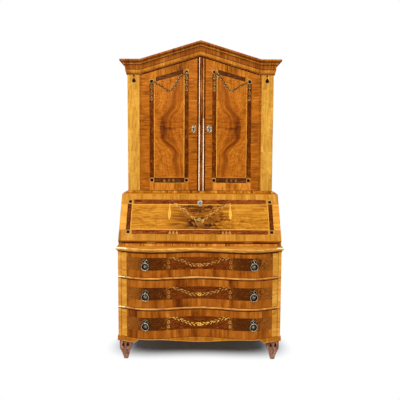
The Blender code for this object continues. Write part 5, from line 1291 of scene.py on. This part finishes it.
def build_door(name, side):
    """One door's veneers: crossbanded frame, dark bands with tiled corners, figured panel, festoon."""
    foot, hinge = DOOR_FOOT_Z + EDGE_MARGIN, DOOR_HALF - DOOR_HINGE_MARGIN
    meeting = LEFT_MEETING_X if side < 0 else RIGHT_MEETING_X
    low_band, (left, right), middle = DOOR_LOW_BAND, DOOR_PANEL_X, sum(DOOR_LOW_BAND) / 2

    def panel(word, material, high, *areas):
        bm = bmesh.new()
        for (inner, outer), *edges in areas:
            add_ribbon(bm, [[(side * x, edge(x) if callable(edge) else edge) for edge in edges]
                            for x in (inner, outer)], door_face, high)
        new_piece(f"{name}_{word}", bm, material, name)

    panel("stiles", STILE_WALNUT, VENEER, ((meeting, DARK_INNER[0]), foot, door_veneer_top),
          ((DARK_OUTER[1], hinge), foot, door_veneer_top))
    panel("bottom_rail", RAIL_WALNUT, VENEER, ((DARK_INNER[0], DARK_OUTER[1]), foot, low_band[0]))
    panel("raked_rail", RAKED_RAIL, VENEER, ((DARK_INNER[0], DARK_OUTER[1]), slant_high, door_veneer_top))
    panel("dark_stiles", DARK_BAND, BANDING, (DARK_INNER, low_band[1], TILES_AT[1][1]),
          (DARK_OUTER, low_band[1], TILES_AT[0][1]))
    panel("dark_rails", DOOR_DARK_RAIL, BANDING, ((DARK_INNER[1], DARK_OUTER[0]), *low_band),
          (SLANT_X, slant_low, slant_high))
    places = [(side * x, z) for x, high in TILES_AT for z in (middle, high)]
    build_tiles(name, door_face, places, DOOR_TILE_HALF)
    panel("panel", DOOR_PANEL, VENEER, (DOOR_PANEL_X, low_band[1], slant_low))
    panel("stringing", BOXWOOD, STRINGING, ((DARK_INNER[1], left + 0.002), low_band[1], slant_low),
          ((right - 0.001, DARK_OUTER[0]), low_band[1], slant_low),
          *((DOOR_PANEL_X, low, low + DOOR_LINE) for low in (low_band[1], low_band[0] - DOOR_LINE)))
    pale, dark, darts = bmesh.new(), bmesh.new(), bmesh.new()
    path = [(side * x, z) for x, z in ((0.335, 1.915), (0.283, 1.890), (0.240, 1.862), (0.218, 1.855),
                                       (0.182, 1.890), (0.153, 1.939), (0.107, 1.983))]
    add_line(dark, smooth_path(path), door_face, 0.0085, STRINGING)
    add_sprig(pale, dark, path, door_face, SILVERED_HOLLY, length=0.019, width=0.0050, pitch=0.0130,
              seed=21 + side, splay=0.6, rim=0.0022)
    for x, high in TILES_AT:
        for i in range(3):
            add_bellflower(pale, dark, (side * x, high - 0.021 - 0.041 * i), door_face, length=0.034,
                           width=0.015)
    for x in (side * 0.192, side * 0.225, side * 0.258):
        add_shape(darts, door_face, [(x - 0.010, middle - 0.011), (x + 0.010, middle - 0.011),
                                     (x + 0.003, middle + 0.010), (x - 0.003, middle + 0.010)])
    new_piece(name + "_festoon", pale, SILVERED_HOLLY, name)
    new_piece(name + "_festoon_shading", dark, SCORCHED, name)
    new_piece(name + "_darts", darts, DULL_DARTS, name)


REEDS = 3
# Heights where the left reed's painted highlight gets narrower and the right reed's gets duller
HIGHLIGHT_SPLIT_Z = 1.62
HIGHLIGHT_RIGHT_Z = 1.66


def build_astragal():
    """Three reeds down the right door's edge, over the gap, with painted highlights as pale lines on their
    crests.
    """
    low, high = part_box("door_astragal")
    reed, depth = (high.x - low.x) / REEDS, (high.y - low.y) / 2
    outline = [(low.x, high.y)]
    for i in range(REEDS):
        outline += arc((low.x + reed * (i + 0.5), low.y + depth), (reed / 2, depth), 180, 360, 12)[:-1]
    outline += [(high.x, low.y + depth), (high.x, high.y)]
    bm = bmesh.new()
    add_loft(bm, [[(x, y, low.z) for x, y in outline], [(x, y, door_top(x)) for x, y in outline]])
    new_piece("door_astragal_reeds", bm, ASTRAGAL_WOOD, "door_right", "door_astragal")

    def add_highlight_line(bm, x, half, proud, foot, head):
        section = ((-half, 0.0012), (0.0006 - half, -proud), (half - 0.0006, -proud), (half, 0.0012))
        add_loft(bm, [[(x + u, low.y + depth * 0.25 + v, z) for u, v in section] for z in (foot, head)])

    left, right = low.x + reed * 0.40, high.x - reed * 0.50
    highlight_lines, dull_highlight = bmesh.new(), bmesh.new()
    add_highlight_line(highlight_lines, left, 0.0036, 0.0017, low.z, HIGHLIGHT_SPLIT_Z)
    add_highlight_line(highlight_lines, left, 0.0024, 0.0017, HIGHLIGHT_SPLIT_Z + 0.0005, door_top(low.x) - 0.002)
    add_highlight_line(highlight_lines, right, 0.0034, 0.0017, low.z, HIGHLIGHT_RIGHT_Z)
    add_highlight_line(dull_highlight, right, 0.0022, 0.0015, HIGHLIGHT_RIGHT_Z + 0.0005, door_top(high.x) - 0.004)
    new_piece("astragal_worn_edges", highlight_lines, PAINTED_REED_HIGHLIGHT, "door_right")
    new_piece("astragal_rubbed_reed", dull_highlight, PAINTED_CREST_HIGHLIGHT, "door_right")
    # Painted shadow: dark strips along both doors' meeting edges, beside the astragal
    for body, edges in (("door_left", (low.x - 0.0100, low.x - 0.0012)),
                        ("door_right", (high.x, high.x + 0.0070))):
        bm = bmesh.new()
        add_ribbon(bm, [((x, DOOR_FOOT_Z + EDGE_MARGIN), (x, door_veneer_top(x))) for x in edges], door_face,
                   STRINGING)
        new_piece(body + "_meeting_line", bm, PAINTED_SHADE, body)


PILASTER_EDGE = 0.010
PILASTER_DROP_X = 0.474


def build_pilaster_inlays():
    """Each pilaster's veneer, an ebonised dot and drop at its head, and an orange inner edge."""
    height = (DOOR_FOOT_Z, EAVES_Z - EDGE_MARGIN)
    edge = PILASTER_X + PILASTER_EDGE
    veneer("pilaster_veneer", PILASTER_WOOD, "case", door_face,
           both_sides(edge, CABINET_HALF - 0.0005, height))
    bm = bmesh.new()
    for u in (-PILASTER_DROP_X, PILASTER_DROP_X):
        add_shape(bm, door_face, oval((u, 1.9590), 0.0062, 16))
        add_shape(bm, door_face, drop_outline((u, 1.9310), 0.0135, 0.0185))
    new_piece("pilaster_drops", bm, EBONISED)
    veneer("pilaster_edge_banding", STILE_WALNUT, "case", door_face, both_sides(PILASTER_X, edge, height))


def cornice_section(inner):
    """From the foot up: a sunk fillet, a tapering ovolo, a quirk, a deep hollow and a square fillet."""
    foot = [(inner, 0.0), (0.003, 0.0), (0.0035, 0.0005), (0.0035, 0.0045)]
    ovolo = [(0.0060, 0.0065), (0.0090, 0.0105), (0.0116, 0.0155), (0.0136, 0.0210), (0.0148, 0.0262),
             (0.0152, 0.0300)]
    quirk = [(0.0080, 0.0302), (0.0080, 0.0350), (0.0150, 0.0356)]
    hollow = arc((0.0450, 0.0370), (0.0300, 0.0485), 180, 90, 18)
    fillet = [(0.0450, 0.0870), (0.0495, 0.0870), (0.0500, 0.0875), (0.0500, 0.0992), (0.0492, 0.1000),
              (inner, 0.1000)]
    return foot + ovolo + quirk + hollow + fillet


def add_cornice_run(bm, front, returns=None):
    """Add a section along the raked and level mouldings and their returns, with mitred joints."""
    returns = returns or front
    for side in (-1, 1):
        end = side * CABINET_HALF
        corner = section_ring(front, end, DOOR_FACE, side, -1, EAVES_Z)
        bend = section_ring(front, side * PILASTER_X, DOOR_FACE, 0, -1, EAVES_Z)
        add_loft(bm, [section_ring(returns, end, CASE_BACK, side, 0, EAVES_Z),
                      section_ring(returns, end, PILASTER_BACK, side, 0, EAVES_Z), corner])
        add_loft(bm, [corner, bend])
        add_loft(bm, [bend, section_ring(front, 0, DOOR_FACE, 0, -1, EAVES_Z + PEDIMENT_RISE)])


# Where the cornice's section is split into its painted lighter wood below and its own wood above, the upper
# one lapping the lower
OVOLO_TOP, HOLLOW_FOOT = 0.0300, 0.0298
# The quirks' lines of painted shade: how far each stands out, its foot and its head
QUIRKS = ((0.0082, 0.0006, 0.0090), (0.0130, 0.0304, 0.0352), (0.0230, 0.0632, 0.0688),
          (0.0462, 0.0835, 0.0869))
QUIRK_DEPTH = 0.0030
# A fillet in the hollow, in the painted lighter wood
CORNICE_STEP = [(0.0170, 0.0690), (0.0275, 0.0690), (0.0282, 0.0697), (0.0282, 0.0753), (0.0275, 0.0760),
                (0.0170, 0.0760)]


def build_cornice():
    """The mouldings, lines of painted shade in their quirks, and the rail behind them."""
    front, returns = cornice_section(-0.002), cornice_section(0.0003)
    ovolo, hollow, quirks, step = (bmesh.new() for _ in range(4))
    add_cornice_run(ovolo, clipped(front, OVOLO_TOP), clipped(returns, OVOLO_TOP))
    add_cornice_run(hollow, raised(front, HOLLOW_FOOT), raised(returns, HOLLOW_FOOT))
    under = [(-CABINET_HALF, EAVES_Z), (-PILASTER_X, EAVES_Z), (0, EAVES_Z + PEDIMENT_RISE),
             (PILASTER_X, EAVES_Z), (CABINET_HALF, EAVES_Z)]
    rail = [(DOOR_FACE, 0.0003), (PILASTER_BACK, 0.0003), (PILASTER_BACK, CORNICE_HEIGHT - 0.0003),
            (DOOR_FACE, CORNICE_HEIGHT - 0.0003)]
    add_loft(hollow, [[(x, y, z + height) for y, height in rail] for x, z in under])
    for proud, low, high in QUIRKS:
        inside = proud - QUIRK_DEPTH
        add_cornice_run(quirks, [(inside, low), (proud, low), (proud, high), (inside, high)])
    add_cornice_run(step, CORNICE_STEP)
    for name, bm, material, replaced, crease in (
            ("ovolo", ovolo, LIT_CORNICE_WOOD, None, 40), ("moulded", hollow, CORNICE_WOOD, "cornice", 40),
            ("quirk_lines", quirks, PAINTED_QUIRK_SHADE, None, 30), ("step", step, LIT_CORNICE_WOOD, None, 40)):
        new_piece("cornice_" + name, bm, material, "case", replaced, crease)


BASE_MOULDING = 0.017


def build_cabinet_base():
    """The board under the cabinet, with a hollow that sweeps out to a thin tip."""
    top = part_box("cabinet_base")[1].z
    base = top - BASE_MOULDING
    section = ([(-0.002, 0.0003), (0.0285, 0.0003), (0.029, 0.0008), (0.029, 0.0036)]
               + arc((0.029, 0.017), (0.025, 0.013), 270, 180, 14) + [(-0.002, 0.0169)])
    rings = [section_ring(section, side * CABINET_HALF, y, side, way, base) for side, y, way in (
        (-1, CASE_BACK, 0), (-1, DOOR_FACE, -1), (1, DOOR_FACE, -1), (1, CASE_BACK, 0))]
    bm = bmesh.new()
    for pair in zip(rings, rings[1:]):
        add_loft(bm, pair)
    board = [(DOOR_FACE, base + 0.0003), (CASE_BACK, base + 0.0003), (CASE_BACK, top), (DOOR_FACE, top)]
    add_loft(bm, [[(x, y, z) for y, z in board] for x in (-CABINET_HALF, CABINET_HALF)])
    new_piece("cabinet_base_moulded", bm, BASE_WOOD, "case", "cabinet_base", 40)


# Metalwork: each mount is drawn in a place of its own, whose Y points into the face that carries it

def upright(y):
    """Stands a plate that is drawn in X and Y upright, with its middle at y."""
    return Matrix(((1, 0, 0, 0), (0, 0, -1, y), (0, 1, 0, 0), (0, 0, 0, 1)))


def add_plate(bm, outlines, thickness, matrix, rounded):
    """Add a flat plate with rounded edges: an outline in its own X and Y, and outlines of holes."""
    curve = bpy.data.curves.new("plate", "CURVE")
    curve.dimensions = "2D"
    curve.fill_mode = "BOTH"
    curve.extrude = thickness / 2 - rounded
    curve.bevel_depth = rounded
    curve.bevel_resolution = 2
    curve.offset = -rounded
    for outline in outlines:
        spline = curve.splines.new("POLY")
        spline.points.add(len(outline) - 1)
        for point, (u, v) in zip(spline.points, outline):
            point.co = (u, v, 0, 1)
        spline.use_cyclic_u = True
    guide = add_object("plate", curve)
    plate = bmesh.new()
    plate.from_mesh(evaluated_mesh(guide))
    bmesh.ops.remove_doubles(plate, verts=plate.verts, dist=0.00001)
    bmesh.ops.transform(plate, matrix=matrix, verts=plate.verts)
    bm.from_mesh(mesh_from("plate", plate))
    bpy.data.objects.remove(guide)
    bpy.data.curves.remove(curve)


def add_wire(bm, path, y, radius, sides, place):
    """Add a round wire in a closed loop through (u, v) points at one y of a place."""
    path = [Vector((u, y, v)) for u, v in path]
    rings = []
    for before, point, after in zip(path[-1:] + path, path, path[1:] + path[:1]):
        along = (after - before).normalized()
        side = along.cross(Vector((0, 1, 0))).normalized()
        other = side.cross(along)
        angles = [2 * math.pi * k / sides for k in range(sides)]
        rings.append([place @ (point + (side * math.cos(a) + other * math.sin(a)) * radius) for a in angles])
    add_loft(bm, rings, closed=True)


def add_turned(bm, profile, centre, y, steps, place):
    """Add a turned boss whose axis is -Y: profile is (radius, height over y) from the rim to the pole."""
    middle = Vector((centre[0], y, centre[1]))
    angles = [2 * math.pi * k / steps for k in range(steps)]
    add_loft(bm, [[place @ (middle + Vector((radius * math.cos(a), -height, radius * math.sin(a))))
                   for a in angles] for radius, height in profile])


RING_RADIUS = 0.0244
RING_WIRE = 0.0026
PLATE_THICKNESS = 0.0025
PLATE_FRONT = 0.0100
PLATE_BACK = PLATE_FRONT + PLATE_THICKNESS
PLATE_ROUNDED = 0.0007
PULL_X = 0.36
# A pull is turned to the drawer's face by how that runs this far to each side of it
PULL_REACH = 0.016
# A pull's heights are taken from the top of its ring's wire, a bow's from the top of its disc
HUB = (0, -RING_RADIUS)
DISC_RADIUS = 0.016
BOW_FOOT = DISC_RADIUS - RING_RADIUS
KNOT = (0, BOW_FOOT + 0.0168)
BOW_LOOP_X = 0.0098
BOW_TIP = 0.0333
BOW_OUTLINE = ((0.0042, 0.0033), (0.0070, 0.0069), (0.0125, 0.0083), (0.0175, 0.0112), (0.0190, 0.0165),
               (0.0179, 0.0224), (0.0137, 0.0271), (0.0087, 0.0277), (0.0049, 0.0297), (0.0027, 0.0323))
EDGE_WIRE = 0.0011
ROSETTE_DOME = ((0.0056, -0.001), (0.0054, 0.0012), (0.0044, 0.0030), (0.0026, 0.0038), (0.0010, 0.0040))
KNOT_DOME = ((0.0040, -0.001), (0.0040, 0.0010), (0.0030, 0.0022), (0.0012, 0.0027))
PETAL_CIRCLE = 0.0050
PETAL_LENGTH = 0.0065
EYE_Z = 0.0033 - RING_WIRE
EYE_OUTER = (0.0054, 0.0058)
EYE_INNER = (0.0036, 0.0036)
EYE_HALF = 0.0018


def pull_place(name, word):
    """Where a pull's ring hangs, with the drawer's face behind it."""
    x = PULL_X if word == "right" else -PULL_X
    depth = serpentine(x + PULL_REACH) - serpentine(x - PULL_REACH)
    turn = Matrix.Rotation(math.atan2(depth, 2 * PULL_REACH), 4, "Z")
    point = Vector((x, serpentine(x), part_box(f"{name}_ring_{word}")[1].z - RING_WIRE))
    return Matrix.Translation(point + turn @ Vector((0, -PLATE_BACK - 0.0003, 0))) @ turn


def eye_outline():
    """The eye's (y, z) outline: a loop that is open towards the plate."""
    root = PLATE_FRONT + 0.001
    outer, inner = EYE_OUTER[1], EYE_INNER[1]
    return ([(root, EYE_Z + outer)] + arc((0, EYE_Z), EYE_OUTER, 90, 270, 14)
            + [(root, EYE_Z - outer), (root, EYE_Z - inner)]
            + arc((0, EYE_Z), EYE_INNER, 270, 90, 14) + [(root, EYE_Z + inner)])


def build_pull(name, word, petal):
    """One ring pull: a domed rosette with petals, a ribbon bow over it, and the ring in its eye."""
    place = pull_place(name, word)
    plate, painted_shadow, relief, ring = (bmesh.new() for _ in range(4))

    def on_drawer(u, v, w):
        return place @ Vector((u, PLATE_BACK - w, v))

    def on_plate(u, v, w):
        return place @ Vector((u, PLATE_FRONT - w, v))

    right = [(u, BOW_FOOT + v) for u, v in BOW_OUTLINE] + [(0, BOW_FOOT + BOW_TIP)]
    bow = smooth_path(mirrored(right, shared=-1), 3, closed=True)
    loops = [oval((side * BOW_LOOP_X, KNOT[1]), (0.0060, 0.0050), 16) for side in (-1, 1)]
    for outlines in ([bow] + loops, [oval(HUB, DISC_RADIUS, 48)]):
        add_plate(plate, outlines, PLATE_THICKNESS, place @ upright(PLATE_BACK - PLATE_THICKNESS / 2),
                  PLATE_ROUNDED)
    add_wire(plate, oval(HUB, DISC_RADIUS - 0.001, 48), PLATE_FRONT, EDGE_WIRE, 8, place)
    # Painted shadow: dark wood on the drawer behind the ring, the rosette and the bow's loops
    add_shape(painted_shadow, on_drawer, oval(HUB, 0.0275, 48), 0.0010, -0.0002)
    add_shape(painted_shadow, on_drawer, oval(KNOT, (0.0165, 0.0070), 24), 0.0011, -0.0002)
    add_turned(relief, ROSETTE_DOME, HUB, PLATE_FRONT, 24, place)
    path_petals(relief, HUB, PETAL_CIRCLE, petal, 8, PETAL_LENGTH, on_plate, SILVERED, 48)
    add_wire(relief, [(u * 0.95, KNOT[1] + (v - KNOT[1]) * 0.93) for u, v in bow], PLATE_FRONT, EDGE_WIRE, 8,
             place)
    add_turned(relief, KNOT_DOME, KNOT, PLATE_FRONT, 16, place)
    add_loft(relief, [[place @ Vector((x, y, z)) for y, z in eye_outline()] for x in (-EYE_HALF, EYE_HALF)])
    add_wire(ring, arc(HUB, (RING_RADIUS, RING_RADIUS), 90, -270, 72)[:-1], 0, RING_WIRE, 14, place)
    cast, drawn = f"{name}_pull_plate_{word}", f"{name}_ring_{word}"
    new_piece(cast + "_cast", plate, TARNISHED, name, cast, 35)
    new_piece(f"{name}_pull_ground_{word}", painted_shadow, EBONISED, name)
    new_piece(f"{name}_pull_relief_{word}", relief, SILVERED, name, crease=35)
    new_piece(drawn + "_drawn", ring, SILVERED, drawn, drawn, 60)


def build_pulls():
    petal = leaf_pattern("petal", [(u, v * 1.25) for u, v in pointed_leaf(0.42)], 0.0004, -0.0005, 0.0011)
    for name in DRAWERS:
        for word in ("left", "right"):
            build_pull(name, word, petal)


ESCUTCHEON_HALF_HEIGHT = 0.026
ESCUTCHEON_THICKNESS = 0.0012
ESCUTCHEON_MIDDLE = 0.0009
RIM_HEIGHT = 0.0014
ESCUTCHEON_OUTLINE = ((0.20, -0.95), (0.42, -0.80), (0.78, -0.60), (1.00, -0.28), (0.92, 0.10),
                      (1.00, 0.42), (0.78, 0.70), (0.46, 0.78), (0.30, 0.96))
KEYHOLE = arc((0, 0.002), (0.0050, 0.0050), -60, 240, 16) + [(-0.0030, -0.014), (0.0030, -0.014)]
FALL_KEYHOLE = 0.292


def stretched_outline(outline, wide, tall):
    return [(u * wide, v * tall) for u, v in outline]


def build_escutcheon(node, body, place, width):
    """A keyhole plate with a raised rim, and painted shade in its keyhole, which has a lip."""
    half = stretched_outline(ESCUTCHEON_OUTLINE, width / 2, ESCUTCHEON_HALF_HEIGHT)
    outline = smooth_path(mirrored(half), 4, closed=True)
    keyhole_shade, plate, rim = (bmesh.new() for _ in range(3))
    # Painted shade: a dark sheet behind the keyhole
    add_shape(keyhole_shade, lambda u, v, w: place @ Vector((u, -w, v)), stretched_outline(KEYHOLE, 1.4, 1.2),
              ESCUTCHEON_MIDDLE)
    add_plate(plate, [outline, KEYHOLE], ESCUTCHEON_THICKNESS, place @ upright(-ESCUTCHEON_MIDDLE), 0.0003)
    add_wire(rim, stretched_outline(outline[::2], 0.92, 0.94), -RIM_HEIGHT, 0.0012, 8, place)
    add_wire(rim, stretched_outline(KEYHOLE, 1.35, 1.2), -RIM_HEIGHT, 0.0008, 6, place)
    new_piece(node + "_keyway", keyhole_shade, EBONISED, body)
    new_piece(node + "_cast", plate, DULL_SILVER, body, node, 35)
    new_piece(node + "_rim", rim, SILVERED, body, crease=35)


def build_escutcheons():
    for node, body, width in (("door_escutcheon_left", "door_left", 0.030),
                              ("door_escutcheon_right", "door_right", 0.038)):
        low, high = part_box(node)
        place = Matrix.Translation(((low.x + high.x) / 2, DOOR_FACE, (low.z + high.z) / 2))
        build_escutcheon(node, body, place, width)
    turn = Matrix(((1, 0, 0), -FALL_OUT, FALL_UP)).transposed().to_4x4()
    place = Matrix.Translation(fall_face(0, FALL_KEYHOLE, 0)) @ turn
    build_escutcheon("fall_escutcheon", "fall", place, 0.036)


def dress_cad_nodes():
    """Give the CAD nodes that stay their own finish: the longest key that a name starts with counts."""
    finishes = {
        "cabinet_back": PINE, "case_back": PINE, "cabinet_roof": ROOF_PINE, "chest_bottom": PINE,
        "chest_top": WORN_TOP, "cabinet_shelf": DESK_WALNUT, "desk_floor": DESK_WALNUT,
        "desk_top": DESK_WALNUT, "gallery": DESK_WALNUT, "fall_board": DESK_WALNUT,
        "case_side": CASE_WALNUT, "cabinet_side": CABINET_SIDE, "door": DOOR_EDGE,
        "small_drawer": DESK_WALNUT, "fall_hinge": BRASS,
    }
    for name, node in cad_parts.items():
        if "pivot" in name:
            finish = STEEL
        elif name.endswith("_box"):
            finish = OAK
        else:
            best = max((key for key in finishes if name.startswith(key)), key=len, default=None)
            finish = finishes.get(best, CASE_WALNUT)
        node.data.materials.clear()
        node.data.materials.append(finish)


build_camera()
build_lamps()
build_surroundings()
build_floor()
build_drawer_fronts()
build_drawer_rails()
build_waist()
build_frieze()
build_plinth()
build_feet()
build_case_edges()
build_fall()
build_door("door_left", -1)
build_door("door_right", 1)
build_astragal()
build_pilaster_inlays()
build_cornice()
build_cabinet_base()
build_pulls()
build_escutcheons()
dress_cad_nodes()
